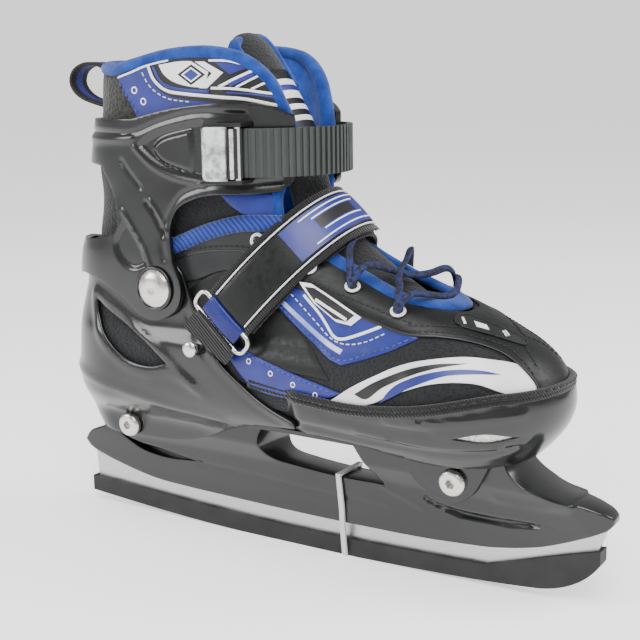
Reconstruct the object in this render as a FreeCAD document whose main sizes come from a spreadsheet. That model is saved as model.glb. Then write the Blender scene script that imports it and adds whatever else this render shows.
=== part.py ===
"""Adjustable recreational ice skate: plastic boot with a soft liner, on a steel blade.

Frame: +X towards the toe, -Y the outer side (buckle side), +Z up.
The origin lies under the middle of the blade guard, on the ground. Millimetres.
"""
import FreeCAD
import Part
import math
import os

V = FreeCAD.Vector
doc = FreeCAD.newDocument("ice_skate")

# ---------------------------------------------------------------- driving dimensions
SIZES = {
    "blade_thickness": 3.2,
    "guard_width": 8.0,
    "guard_floor": 3.0,
    "tie_width": 2.6,
    "tie_thickness": 1.2,
    "tie_place": 17.0,
    "rail_foot_half": 5.5,
    "rail_top_half": 9.0,
    "pedestal_half": 15.6,
    "wall": 2.6,
    "cuff_wall": 2.6,
    "liner_wall": 7.0,
    "sole_low": 62.0,
    "sole_thick": 3.0,
    "sole_half": 22.0,
    "tab_thick": 3.0,
    "bolt_radius": 4.0,
    "bolt_head_radius": 6.2,
    "bolt_head_height": 3.4,
    "bolt_socket_radius": 2.4,
    "rear_bolt_place": -100.2,
    "rear_bolt_level": 52.9,
    "front_bolt_place": 80.6,
    "front_bolt_level": 52.0,
    "pivot_place": -65.6,
    "pivot_level": 128.9,
    "pivot_shaft_radius": 5.0,
    "pivot_cap_radius": 9.0,
    "pivot_cap_height": 2.2,
    "pivot_clearance": 0.05,
    "button_place": -43.3,
    "button_level": 102.7,
    "button_radius": 3.8,
    "button_stem_radius": 2.0,
    "size_pitch": 6.667,
    "arm_thick": 2.0,
    "strap_centre_place": -27.6,
    "strap_centre_side": -1.0,
    "strap_level": 193.5,
    "strap_width": 21.4,
    "strap_radius": 41.2,
    "strap_thick": 1.6,
    "rib_height": 0.9,
    "rib_count": 34,
    "buckle_turn": 12.0,
    "buckle_half_length": 9.0,
    "buckle_height": 26.4,
    "cheek_thick": 1.6,
    "lever_pin_radius": 1.3,
    "pawl_pin_radius": 0.9,
    "pin_clearance": 0.05,
    "ring_length": 36.0,
    "ring_width": 11.0,
    "ring_wire": 2.4,
    "instep_width": 28.0,
    "instep_thick": 1.6,
    "lace_radius": 1.6,
    "eyelet_radius": 4.2,
    "eyelet_hole": 2.2,
    "loop_width": 12.0,
    "insole_thick": 4.0,
}

sheet = doc.addObject("Spreadsheet::Sheet", "Sizes")
for row, (alias, value) in enumerate(SIZES.items(), 1):
    sheet.set("A%d" % row, alias)
    sheet.set("B%d" % row, str(value))
    sheet.setAlias("B%d" % row, alias)
doc.recompute()


def size(alias):
    return float(getattr(sheet, alias))


def bind(obj, **expressions):
    for prop, formula in expressions.items():
        for alias in sorted(SIZES, key=len, reverse=True):
            formula = formula.replace("#" + alias, "Sizes." + alias)
        obj.setExpression(prop.replace("__", "."), formula)
    return obj


# ---------------------------------------------------------------- building helpers
SIDE_VIEW = FreeCAD.Placement(V(0, 0, 0), FreeCAD.Rotation(V(1, 0, 0), 90))
TOP_VIEW = FreeCAD.Placement()
FRONT_VIEW = FreeCAD.Placement(V(0, 0, 0), FreeCAD.Rotation(0.5, 0.5, 0.5, 0.5))


def draw(sketch, outline):
    """Closed outline of stretches: two points make a line, more make a smooth curve."""
    for stretch in outline:
        points = [V(p[0], p[1], 0) for p in stretch]
        if len(points) == 2:
            sketch.addGeometry(Part.LineSegment(points[0], points[1]))
        else:
            curve = Part.BSplineCurve()
            curve.interpolate(points)
            sketch.addGeometry(curve)


def polygon(points):
    """The same outline form from plain corners."""
    return [[points[i], points[(i + 1) % len(points)]] for i in range(len(points))]


def prism(name, outline, length, view=SIDE_VIEW):
    """Solid from an outline, of this whole length, centred on the outline's plane."""
    sketch = doc.addObject("Sketcher::SketchObject", name + "_outline")
    sketch.Placement = view
    draw(sketch, outline)
    solid = doc.addObject("Part::Extrusion", name)
    solid.Base = sketch
    solid.DirMode = "Normal"
    solid.Symmetric = True
    solid.Solid = True
    if isinstance(length, str):
        bind(solid, LengthFwd=length)
    else:
        solid.LengthFwd = length
    return solid


def boolean(kind, name, base, tool):
    solid = doc.addObject("Part::" + kind, name)
    solid.Base = base
    solid.Tool = tool
    return solid


def cut(name, base, *tools):
    for i, tool in enumerate(tools):
        base = boolean("Cut", name if i == len(tools) - 1 else "%s_cut%d" % (name, i), base, tool)
    return base


def common(name, base, tool):
    return boolean("Common", name, base, tool)


def fuse(name, *solids):
    solid = doc.addObject("Part::MultiFuse", name)
    solid.Shapes = list(solids)
    return solid


def group(name, *solids):
    solid = doc.addObject("Part::Compound", name)
    solid.Links = list(solids)
    return solid


def box(name, low, high):
    solid = doc.addObject("Part::Box", name)
    solid.Length, solid.Width, solid.Height = [high[i] - low[i] for i in range(3)]
    solid.Placement.Base = V(*low)
    return solid


def cross_pin(name, x, z, y_from, y_to, radius):
    """Cylinder along Y between two depths; x, z and radius are expressions."""
    pin = doc.addObject("Part::Cylinder", name)
    pin.Height = y_to - y_from
    pin.Placement = FreeCAD.Placement(V(0, y_from, 0), FreeCAD.Rotation(V(1, 0, 0), -90))
    bind(pin, Radius=radius, Placement__Base__x=x, Placement__Base__z=z)
    return pin


def padded(name, outline, length, role="XZ_Plane", pockets=()):
    """PartDesign body: an outline padded both ways, with pockets right through."""
    body = doc.addObject("PartDesign::Body", name)
    plane = [f for f in body.Origin.OriginFeatures if f.Role == role][0]
    for i, shape in enumerate([outline] + list(pockets)):
        sketch = body.newObject("Sketcher::SketchObject", "%s_sketch%d" % (name, i))
        sketch.AttachmentSupport = [(plane, "")]
        sketch.MapMode = "FlatFace"
        draw(sketch, shape)
        kind = "Pad" if i == 0 else "Pocket"
        feature = body.newObject("PartDesign::" + kind, "%s_%s%d" % (name, kind.lower(), i))
        feature.Profile = sketch
        feature.SideType = "Symmetric"
        if i == 0:
            bind(feature, Length=length)
        else:
            feature.Type = "ThroughAll"
    return body


def turned(name, half_profile):
    """PartDesign body: half profile (radius, height) turned about its own Z axis."""
    body = doc.addObject("PartDesign::Body", name)
    plane = [f for f in body.Origin.OriginFeatures if f.Role == "XZ_Plane"][0]
    sketch = body.newObject("Sketcher::SketchObject", name + "_sketch")
    sketch.AttachmentSupport = [(plane, "")]
    sketch.MapMode = "FlatFace"
    draw(sketch, half_profile)
    turn = body.newObject("PartDesign::Revolution", name + "_turn")
    turn.Profile = sketch
    turn.ReferenceAxis = (sketch, ["V_Axis"])
    turn.Angle = 360
    return body


def half_oval(x, z, reach, half):
    """Half ellipse across the boot at x, bulging by reach: forward if positive."""
    centre, side, end = V(x, 0, z), V(x, half, z), V(x + abs(reach), 0, z)
    oval = Part.Ellipse(end, side, centre)
    start = -math.pi / 2 if reach > 0 else math.pi / 2
    return Part.ArcOfEllipse(oval, start, start + math.pi).toShape()


def plan_wire(level, grow):
    """Plan outline of a boot at one height: (z, back, front, heel half, ball half)."""
    z, back, front, heel, ball = level
    back, front, heel, ball = back - grow, front + grow, heel + grow, ball + grow
    heel_x, toe_x = back + HEEL_ROUND * heel, front - TOE_ROUND * ball
    return Part.Wire([
        Part.makeLine(V(heel_x, -heel, z), V(toe_x, -ball, z)),
        half_oval(toe_x, z, TOE_ROUND * ball, ball),
        Part.makeLine(V(toe_x, ball, z), V(heel_x, heel, z)),
        half_oval(heel_x, z, -HEEL_ROUND * heel, heel),
    ])


def form(name, levels, grow):
    """Boot-shaped solid through plan outlines at rising heights."""
    solid = doc.addObject("Part::Feature", name)
    solid.Shape = Part.makeLoft([plan_wire(level, grow) for level in levels], True, True)
    return solid


def shell(name, levels, side, outside, inside):
    """Wall between two sizes of one form, kept inside a side-view prism."""
    outer = common(name + "_block", form(name + "_outer", levels, outside), side)
    return cut(name, outer, form(name + "_inner", levels, inside))


NODES = []
HEEL_ROUND, TOE_ROUND = 1.15, 1.25


def node(obj, label):
    obj.Label = label
    NODES.append(obj)
    return obj


# ---------------------------------------------------------------- boot forms
# Outside of the heel and toe shells: (height, back, front, half width at heel, at ball).
SHELL_LEVELS = [
    (46, -130.0, 98, 18.8, 18.8),
    (57, -136.0, 106, 19.8, 26),
    (64, -137.5, 112, 26.5, 32),
    (71, -138.8, 119, 33.0, 38),
    (80, -139.5, 125, 36.5, 42.5),
    (90, -138.4, 127, 37.5, 44),
    (103, -137.2, 123, 37.5, 43.0),
    (110, -136.2, 118, 35.2, 35.6),
    (120, -133.2, 108, 35.2, 35.2),
    (126, -131.4, 100, 35.2, 35.2),
    (152, -130.0, 80, 35.2, 35.2),
]
CUFF_LEVELS = [
    (108, -135.8, 14, 39.2, 38.6),
    (128, -134.8, 18, 39.2, 38.6),
    (142, -133.2, 20, 39.0, 38.0),
    (152, -129.4, 22, 38.6, 37.2),
    (170, -124.2, 14, 38.0, 36.6),
    (182, -125.4, 10, 37.6, 36.0),
    (208, -121.0, 10, 37.2, 35.8),
    (220, -119.6, 10, 37.2, 35.8),
]
LINER_LEVELS = [
    (64, -123.0, 110, 22.0, 27.0),
    (72, -131.6, 116, 29.6, 34.4),
    (80, -135.2, 121, 33.0, 39.0),
    (92, -134.2, 123, 34.0, 40.4),
    (102, -133.2, 119, 34.0, 39.2),
    (110, -131.2, 112, 31.9, 33.4),
    (116, -129.4, 101, 31.8, 32.8),
    (124, -127.4, 84, 31.6, 32.2),
    (132, -126.6, 60, 31.4, 31.8),
    (142, -125.4, 36, 31.2, 31.2),
    (152, -124.4, 20, 31.0, 30.0),
    (164, -123.0, 14, 31.0, 29.0),
]
COLLAR_LEVELS = [
    (138, -125.0, 20, 31.6, 30.6),
    (152, -124.2, 16, 31.6, 30.6),
    (170, -120.4, 9, 32.4, 30.6),
    (190, -120.2, 6, 32.6, 30.4),
    (208, -117.2, 6, 32.6, 30.2),
    (224, -116.0, 5, 32.6, 30.0),
    (240, -113.5, 3, 32.6, 30.0),
]
FAR = 200.0

# ---------------------------------------------------------------- blade and holder
ground_rear = [(-143, 5.4), (-110, 3.0), (-75, 1.0), (-40, 0)]
ground_front = [(24, 0), (60, 1.0), (90, 2.4), (114, 4.3)]
guard_nose = [(114, 4.3), (126, 7.2), (136, 13.0), (142.8, 20.6)]
guard_rise = [(142.8, 26.8), (122, 20.6), (106, 15.4), (89.6, 10.2)]
guard_top = [(89.6, 10.2), (60, 9.2), (15, 8.4), (-30, 8.6), (-85, 10.6), (-143, 13.6)]


def raised(points, lift):
    return [(x, z + lift) for x, z in points]


floor = size("guard_floor")
blade_outline = [
    [(-140.3, 5.4 + floor), (-110, 3.0 + floor), (-75, 1.0 + floor), (-40, floor)],
    [(-40, floor), (24, floor)],
    raised(ground_front, floor),
    [(114, 4.3 + floor), (126, 7.2 + floor), (135, 14.0 + floor), (140.4, 21.0 + floor)],
    [(140.4, 21.0 + floor), (144.4, 36.0)],
    [(144.4, 36.0), (110, 31.0), (60, 27.0), (0, 26.0), (-70, 27.0), (-142, 31.5)],
    [(-142, 31.5), (-140.3, 5.4 + floor)],
]
node(padded("blade", blade_outline, "#blade_thickness"), "blade")

guard_outline = [
    ground_rear,
    [(-40, 0), (24, 0)],
    ground_front,
    guard_nose,
    [(142.8, 20.6), (142.8, 26.8)],
    guard_rise,
    guard_top,
    [(-143, 13.6), (-143, 5.4)],
]
guard_block = prism("guard_block", guard_outline, "#guard_width")
guard_slot = prism("guard_slot", blade_outline, "#blade_thickness")
tie_half = size("tie_width") / 2
tie_at = size("tie_place")
tie_dent = box("tie_dent", (tie_at - tie_half, -20, -5), (tie_at + tie_half, 20, size("tie_thickness")))
node(cut("blade_guard", guard_block, guard_slot, tie_dent), "blade_guard")

holder_side = [
    [(-143.8, 35.1), (-138.5, 30), (-120.4, 24.3), (-97, 19.8), (-71.9, 18.4)],
    [(-71.9, 18.4), (-19.3, 17.3), (16.7, 17.0), (55, 17.3), (77.8, 18.4)],
    [(77.8, 18.4), (94.7, 19.8), (113.9, 23.7), (127.8, 28.8), (145.5, 36.9)],
    [(145.5, 36.9), (148.0, 39.5), (148.0, 42.4), (144.5, 44.7)],
    [(144.5, 44.7), (135.6, 47.1), (121.8, 49.4), (112.5, 53.0), (105.8, 58), (102, 65)],
    [(102, 65), (96, 62)],
    [(96, 62), (-118, 62)],
    [(-118, 62), (-120, 54), (-124, 47.6), (-132, 43.6), (-139, 40.8), (-143.8, 35.1)],
]
holder_block = prism("holder_block", holder_side, 80)
foot, top, pedestal = size("rail_foot_half"), size("rail_top_half"), size("pedestal_half")
REAR_NECK = 9.0
neck_cuts = [
    box("neck_cut_%s" % name, (-150, low, 45), (-106, low + 20, 70))
    for name, low in (("outer", -REAR_NECK - 20), ("inner", REAR_NECK))]
holder_section = prism(
    "holder_section",
    polygon([
        (-foot, 10), (foot, 10), (foot + 0.6, 24), (top, 42), (pedestal, 52), (pedestal, 70),
        (-pedestal, 70), (-pedestal, 52), (-top, 42), (-foot - 0.6, 24),
    ]),
    400, FRONT_VIEW)
window = prism("holder_window", [
    [(-14, 80), (-24.4, 60), (-26.0, 52.2), (-22, 45.5), (-5.2, 42.3)],
    [(-5.2, 42.3), (18.2, 40.8), (41.2, 41.0)],
    [(41.2, 41.0), (33.2, 52), (24.6, 62), (18, 80)],
    [(18, 80), (-14, 80)],
], 80)
rear_slit = prism("rear_slit", [
    [(-117, 42), (-104, 38.8), (-90, 37.4), (-70.6, 34.2)],
    [(-70.6, 34.2), (-88, 33.2), (-104, 35.4), (-117, 42)],
], 80)
rear_bore = cross_pin("rear_bore", "#rear_bolt_place", "#rear_bolt_level", -60, 60, "#bolt_radius")
front_bore = cross_pin("front_bore", "#front_bolt_place", "#front_bolt_level", -60, 60, "#bolt_radius")
blade_slot = prism("blade_slot", blade_outline, "#blade_thickness")
blade_holder = cut(
    "blade_holder", common("holder_body", holder_block, holder_section),
    window, rear_slit, rear_bore, front_bore, blade_slot, *neck_cuts)
node(blade_holder, "blade_holder")

# The tie runs round the guard, the blade and the rail, through the holder's window.
thick = size("tie_thickness")
tie_inner = [(-4.2, thick), (4.2, thick), (6.1, 16), (6.5, 24), (9.4, 41.4), (-9.4, 41.4), (-6.5, 24), (-6.1, 16)]
tie_outer = [(-5.3, 0), (5.3, 0), (7.3, 16), (7.7, 24), (10.6, 42.6), (-10.6, 42.6), (-7.7, 24), (-7.3, 16)]
tie_band = padded("guard_tie", polygon(tie_outer), "#tie_width", "YZ_Plane", [polygon(tie_inner)])
bind(tie_band, Placement__Base__x="#tie_place")
node(tie_band, "guard_tie")

# ---------------------------------------------------------------- heel shell and sole
wall = size("wall")
heel_side = prism("heel_side", [
    [(-160, 138), (-104, 138)],
    [(-104, 138), (-92, 144.5), (-76, 148), (-62, 146), (-52.5, 137)],
    [(-52.5, 137), (-42.7, 119.4), (-30.6, 98.4), (-15.3, 86.4), (-1.5, 77.4), (9.5, 72)],
    [(9.5, 72), (9.5, 69)],
    [(9.5, 69), (-10.3, 66.0), (-27.2, 63.4), (-42.5, 57), (-58.2, 51.1), (-74.3, 48.3), (-95, 47)],
    [(-95, 47), (-160, 47)],
    [(-160, 47), (-160, 138)],
], FAR)
heel_vent = prism("heel_vent", [
    [(-106.8, 119.9), (-85, 107), (-64, 93)],
    [(-64, 93), (-74, 90.6), (-88, 91.6), (-99, 101), (-106.8, 119.9)],
], FAR)
sole_low, sole_high = size("sole_low"), size("sole_low") + size("sole_thick")
heel_floor = common(
    "heel_floor", form("heel_floor_form", SHELL_LEVELS, -1.0),
    box("heel_floor_slab", (-160, -60, sole_low), (-26, 60, sole_high)))
sole_half = size("sole_half")
sole_plate = box("sole_plate", (-40, -sole_half, sole_low), (96, sole_half, sole_high))
tab_side = prism("tab_side", [
    [(96, sole_high), (57, sole_high)],
    [(57, sole_high), (57, 56), (64, 47), (73, 42.9), (80.3, 41.7), (87, 44.9), (92, 51), (96, sole_high)],
], FAR)
tab = size("tab_thick")
tab_span = box("tab_span", (40, -pedestal - tab, 30), (110, pedestal + tab, 70))
tab_gap = box("tab_gap", (40, -pedestal, 20), (110, pedestal, sole_low))
front_tabs = cut("front_tabs", common("tab_block", tab_side, tab_span), tab_gap)
heel_cup = shell("heel_cup", SHELL_LEVELS, heel_side, 0, -wall)
heel_blank = fuse("heel_blank", cut("heel_cup_vented", heel_cup, heel_vent), heel_floor, sole_plate, front_tabs)
pivot_bore = cross_pin("pivot_bore", "#pivot_place", "#pivot_level", -60, 60, "#pivot_shaft_radius")
button_bore = cross_pin(
    "button_bore", "#button_place", "#button_level", -60, 0, "#button_stem_radius + #pivot_clearance")
heel_rear_bore = cross_pin("heel_rear_bore", "#rear_bolt_place", "#rear_bolt_level", -60, 60, "#bolt_radius")
heel_front_bore = cross_pin(
    "heel_front_bore", "#front_bolt_place", "#front_bolt_level", -60, 60, "#bolt_radius")
spot_radius = "#bolt_head_radius + 0.6"
REAR_FACE = 20.2
spot_outer = cross_pin("spot_outer", "#rear_bolt_place", "#rear_bolt_level", -60, -REAR_FACE, spot_radius)
spot_inner = cross_pin("spot_inner", "#rear_bolt_place", "#rear_bolt_level", REAR_FACE, 60, spot_radius)
node(cut("heel_shell", heel_blank, pivot_bore, button_bore, heel_rear_bore, heel_front_bore,
         spot_outer, spot_inner), "heel_shell")

# ---------------------------------------------------------------- toe shell, slides for size
toe_side = prism("toe_side", [
    [(14, 86), (37.5, 84.6), (57.3, 85.8), (76.3, 88.9), (103.4, 95.5), (135, 101.5)],
    [(135, 101.5), (135, 62)],
    [(135, 62), (104, 64), (82, 63.9), (62, 64.4), (41, 65.8), (14, 67.5)],
    [(14, 67.5), (14, 86)],
], FAR)
toe_bowl = shell("toe_bowl", SHELL_LEVELS, toe_side, 0, -wall)
sleeve_side = prism("sleeve_side", [
    [(-22, 89.6), (0, 87.4), (16, 86)],
    [(16, 86), (16, 67.4)],
    [(16, 67.4), (-22, 67.4)],
    [(-22, 67.4), (-22, 89.6)],
], FAR)
toe_sleeve = shell("toe_sleeve", SHELL_LEVELS, sleeve_side, -wall - 0.4, -2 * wall - 0.4)
joggle_side = box("joggle_side", (14, -60, 67.5), (17, 60, 86))
toe_joggle = shell("toe_joggle", SHELL_LEVELS, joggle_side, -0.2, -5.4)
floor_form = form("toe_floor_form", SHELL_LEVELS, -wall - 0.6)
toe_floor = common("toe_floor", floor_form, box("toe_floor_slab", (-22, -60, 65.5), (135, 60, 68)))
toe_floor_edge = common(
    "toe_floor_edge", form("toe_edge_form", SHELL_LEVELS, -0.3),
    box("toe_edge_slab", (20, -60, 65.5), (135, 60, 68)))
arm_thick = size("arm_thick")
ARM_OUT, ARM_LOW, ARM_HIGH, ARM_BACK = 33.4, 97.0, 107.0, -74.0
arm_straight = prism("arm_straight", polygon([
    (ARM_BACK, ARM_LOW), (-28, ARM_LOW), (-18, 84), (14, 78), (14, 86), (-12, 90), (-24, ARM_HIGH),
    (ARM_BACK, ARM_HIGH)]), FAR)
arm_band = cut(
    "arm_band", box("arm_outer", (ARM_BACK, -ARM_OUT, 70), (16, ARM_OUT, 115)),
    box("arm_inner", (ARM_BACK - 5, -ARM_OUT + arm_thick, 60), (20, ARM_OUT - arm_thick, 120)))
arms = common("arms", arm_band, arm_straight)
web_band = cut(
    "web_band", box("web_outer", (-21, -60, 78), (13, 60, 86.5)),
    box("web_inner", (-30, -ARM_OUT + arm_thick, 70), (20, ARM_OUT - arm_thick, 90)))
arm_webs = common("arm_webs", form("web_form", SHELL_LEVELS, -wall - 0.4), web_band)
toe_blank = fuse(
    "toe_blank", toe_bowl, toe_sleeve, toe_joggle, toe_floor, toe_floor_edge, arm_webs, arms)
VENT_OUTLINE = [
    [(93, 81.6), (106, 84.4), (120, 82.6)],
    [(120, 82.6), (108, 80.4), (93, 81.6)],
]
toe_vent = prism("toe_vent", VENT_OUTLINE, FAR)
notches = [
    cross_pin("notch%d" % i, "#button_place - %d * #size_pitch" % i, "#button_level", -60, 0,
              "#button_stem_radius + 0.6")
    for i in range(4)]
node(cut("toe_shell", toe_blank, toe_vent, *notches), "toe_shell")
vent_fill = prism("vent_fill", VENT_OUTLINE, FAR)
node(shell("toe_vents", SHELL_LEVELS, vent_fill, -0.9, -1.7), "toe_vents")

# ---------------------------------------------------------------- cuff
cuff_wall = size("cuff_wall")
CUFF_TOP = [(-95, 207.6), (-77.5, 207.0), (-53, 212), (-24, 215), (-2, 213), (6.5, 209), (8.5, 203)]
cuff_side = prism("cuff_side", [
    [(-160, 206.5), (-95, 207.6)],
    CUFF_TOP,
    [(8.5, 203), (6, 192), (2.4, 183), (-2, 176.0)],
    [(-2, 176.0), (-15, 174.6), (-31, 174.0), (-42, 171.6), (-52, 166.5), (-56, 156), (-55, 142)],
    [(-55, 142), (-50.4, 130), (-53.4, 119.7), (-65.1, 113.5), (-75, 115.4), (-86, 123.2)],
    [(-86, 123.2), (-98, 129.2), (-114, 132), (-128, 130), (-142, 128.5)],
    [(-142, 128.5), (-160, 128.5)],
    [(-160, 128.5), (-160, 206.5)],
], FAR)
achilles = prism("achilles_window", [
    [(-160, 172), (-130, 171.5), (-120, 166), (-114, 157), (-112, 149), (-114, 144), (-122, 142.4)],
    [(-122, 142.4), (-160, 142.4)],
    [(-160, 142.4), (-160, 172)],
], FAR)
cuff_front = box("cuff_front_cut", (2.5, -60, 100), (60, 60, 230))
cuff_bore = cross_pin(
    "cuff_bore", "#pivot_place", "#pivot_level", -60, 60, "#pivot_shaft_radius + #pivot_clearance")
anchor_bore = cross_pin("anchor_bore", "#strap_centre_place", "#strap_level", 0, 60, "2.2")
buckle_bore = doc.addObject("Part::Cylinder", "buckle_bore")
buckle_bore.Radius = 3
buckle_bore.Height = 60
BUCKLE_AXIS = V(size("strap_centre_place"), size("strap_centre_side"), 0)
BUCKLE_TURN = FreeCAD.Rotation(V(0, 0, 1), size("buckle_turn"))
buckle_bore.Placement = FreeCAD.Placement(
    BUCKLE_AXIS + V(0, 0, size("strap_level")), BUCKLE_TURN * FreeCAD.Rotation(V(1, 0, 0), 90))
cuff_blank = shell("cuff_blank", CUFF_LEVELS, cuff_side, 0, -cuff_wall)
node(cut("cuff_shell", cuff_blank, achilles, cuff_front, cuff_bore, anchor_bore, buckle_bore), "cuff_shell")

# ---------------------------------------------------------------- pivots and bolts
PIVOT_IN, PIVOT_FACE = 32.4, 39.3


def pivot_rivet(name, side):
    """Shaft fixed in the heel shell, with a domed cap outside the cuff."""
    radius, cap, rise = size("pivot_shaft_radius"), size("pivot_cap_radius"), size("pivot_cap_height")
    rivet = turned(name, [
        [(0, PIVOT_IN), (radius, PIVOT_IN)],
        [(radius, PIVOT_IN), (radius, PIVOT_FACE)],
        [(radius, PIVOT_FACE), (cap, PIVOT_FACE)],
        [(cap, PIVOT_FACE), (cap, PIVOT_FACE + 0.7)],
        [(cap, PIVOT_FACE + 0.7), (cap * 0.8, PIVOT_FACE + rise * 0.85), (0, PIVOT_FACE + rise)],
        [(0, PIVOT_FACE + rise), (0, PIVOT_IN)],
    ])
    rivet.Placement.Rotation = FreeCAD.Rotation(V(1, 0, 0), -90 * side)
    return bind(rivet, Placement__Base__x="#pivot_place", Placement__Base__z="#pivot_level")


node(group("pivot_rivets", pivot_rivet("outer_rivet", -1), pivot_rivet("inner_rivet", 1)), "pivot_rivets")


def frame_bolt(name, place, level, face, reach):
    """Sleeve bolt from the outer side, with a hexagon socket in its head."""
    radius, head, rise = size("bolt_radius"), size("bolt_head_radius"), size("bolt_head_height")
    bolt = turned(name + "_blank", [
        [(0, -reach), (radius, -reach)],
        [(radius, -reach), (radius, face)],
        [(radius, face), (head, face)],
        [(head, face), (head, face + rise * 0.5)],
        [(head, face + rise * 0.5), (head * 0.84, face + rise * 0.9), (head * 0.6, face + rise)],
        [(head * 0.6, face + rise), (0, face + rise)],
        [(0, face + rise), (0, -reach)],
    ])
    bolt.Placement.Rotation = FreeCAD.Rotation(V(1, 0, 0), 90)
    bind(bolt, Placement__Base__x=place, Placement__Base__z=level)
    socket = doc.addObject("Part::Prism", name + "_socket")
    socket.Polygon = 6
    socket.Height = 6
    socket.Placement = FreeCAD.Placement(V(0, -face - rise + 2.6, 0), FreeCAD.Rotation(V(1, 0, 0), 90))
    bind(socket, Circumradius="#bolt_socket_radius", Placement__Base__x=place, Placement__Base__z=level)
    return cut(name, bolt, socket)


def frame_nut(name, place, level, face):
    """Low round nut head on the inner side, closing the bolt's sleeve."""
    head, rise = size("bolt_head_radius"), size("bolt_head_height")
    nut = turned(name, [
        [(0, face), (head, face)],
        [(head, face), (head, face + rise * 0.5)],
        [(head, face + rise * 0.5), (head * 0.8, face + rise * 0.9), (0, face + rise)],
        [(0, face + rise), (0, face)],
    ])
    nut.Placement.Rotation = FreeCAD.Rotation(V(1, 0, 0), -90)
    return bind(nut, Placement__Base__x=place, Placement__Base__z=level)


TAB_FACE = pedestal + tab
node(group(
    "frame_bolts",
    frame_bolt("rear_bolt", "#rear_bolt_place", "#rear_bolt_level", REAR_FACE, REAR_FACE),
    frame_bolt("front_bolt", "#front_bolt_place", "#front_bolt_level", TAB_FACE, TAB_FACE)), "frame_bolts")
node(group(
    "frame_nuts",
    frame_nut("rear_nut", "#rear_bolt_place", "#rear_bolt_level", REAR_FACE),
    frame_nut("front_nut", "#front_bolt_place", "#front_bolt_level", TAB_FACE)), "frame_nuts")

# ---------------------------------------------------------------- size button
BUTTON_FACE, STEM_TIP = 42.6, 33.8
stem, button = size("button_stem_radius"), size("button_radius")
button_body = turned("size_button", [
    [(0, STEM_TIP), (stem, STEM_TIP)],
    [(stem, STEM_TIP), (stem, BUTTON_FACE)],
    [(stem, BUTTON_FACE), (button, BUTTON_FACE)],
    [(button, BUTTON_FACE), (button, BUTTON_FACE + 0.6)],
    [(button, BUTTON_FACE + 0.6), (button * 0.75, BUTTON_FACE + 1.3), (0, BUTTON_FACE + 1.7)],
    [(0, BUTTON_FACE + 1.7), (0, STEM_TIP)],
])
button_body.Placement.Rotation = FreeCAD.Rotation(V(1, 0, 0), 90)
bind(button_body, Placement__Base__x="#button_place", Placement__Base__z="#button_level")
node(button_body, "size_button")
SPRING_FACE = 39.7
spring_ring = turned("button_spring", [
    [(stem + 0.3, SPRING_FACE), (stem + 0.9, SPRING_FACE)],
    [(stem + 0.9, SPRING_FACE), (stem + 0.9, SPRING_FACE + 0.6)],
    [(stem + 0.9, SPRING_FACE + 0.6), (stem + 0.3, SPRING_FACE + 0.6)],
    [(stem + 0.3, SPRING_FACE + 0.6), (stem + 0.3, SPRING_FACE)],
])
spring_ring.Placement.Rotation = FreeCAD.Rotation(V(1, 0, 0), 90)
bind(spring_ring, Placement__Base__x="#button_place", Placement__Base__z="#button_level")
node(spring_ring, "button_spring")

# ---------------------------------------------------------------- buckle, in its own tangent frame
# Across: along the strap. Out: distance outwards from the strap circle's axis.
BUCKLE_PLACE = FreeCAD.Placement(BUCKLE_AXIS + V(0, 0, size("strap_level")), BUCKLE_TURN)


def on_buckle(obj):
    obj.Placement = BUCKLE_PLACE
    return obj


half_long, tall, cheek = size("buckle_half_length"), size("buckle_height"), size("cheek_thick")
FLOOR_IN, FLOOR_OUT, CHEEK_OUT = 34.8, 37.0, 47.2
LEVER_PIN = (6.2, -44.8)
PAWL_PIN = (-3.8, -44.6)


def upright_pin(name, spot, radius):
    pin = doc.addObject("Part::Cylinder", name)
    bind(pin, Radius=radius, Height="#buckle_height")
    pin.Placement = FreeCAD.Placement(V(spot[0], spot[1], -tall / 2), FreeCAD.Rotation())
    return pin


def placed_group(name, *solids):
    return on_buckle(group(name, *solids))


buckle_block = box("buckle_block", (-half_long, -CHEEK_OUT, -tall / 2), (half_long, -FLOOR_IN, tall / 2))
buckle_channel = box(
    "buckle_channel", (-half_long - 1, -CHEEK_OUT - 1, -tall / 2 + cheek),
    (half_long + 1, -FLOOR_OUT, tall / 2 - cheek))
buckle_rivet_bore = doc.addObject("Part::Cylinder", "buckle_rivet_bore")
buckle_rivet_bore.Radius = 3
buckle_rivet_bore.Height = 60
buckle_rivet_bore.Placement = FreeCAD.Placement(V(0, 0, 0), FreeCAD.Rotation(V(1, 0, 0), 90))
buckle_base = cut(
    "buckle_base", buckle_block, buckle_channel,
    upright_pin("lever_pin_bore", LEVER_PIN, "#lever_pin_radius"),
    upright_pin("pawl_pin_bore", PAWL_PIN, "#pawl_pin_radius"), buckle_rivet_bore)
node(on_buckle(buckle_base), "buckle_base")
node(placed_group("lever_pin", upright_pin("lever_pin_rod", LEVER_PIN, "#lever_pin_radius")), "lever_pin")
node(placed_group("pawl_pin", upright_pin("pawl_pin_rod", PAWL_PIN, "#pawl_pin_radius")), "pawl_pin")

rivet = turned("buckle_rivet", [
    [(0, 31.6), (3, 31.6)],
    [(3, 31.6), (3, 39.0)],
    [(3, 39.0), (0, 39.0)],
    [(0, 39.0), (0, 31.6)],
])
rivet.Placement = BUCKLE_PLACE * FreeCAD.Placement(V(0, 0, 0), FreeCAD.Rotation(V(1, 0, 0), 90))
node(rivet, "buckle_rivet")

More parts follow.
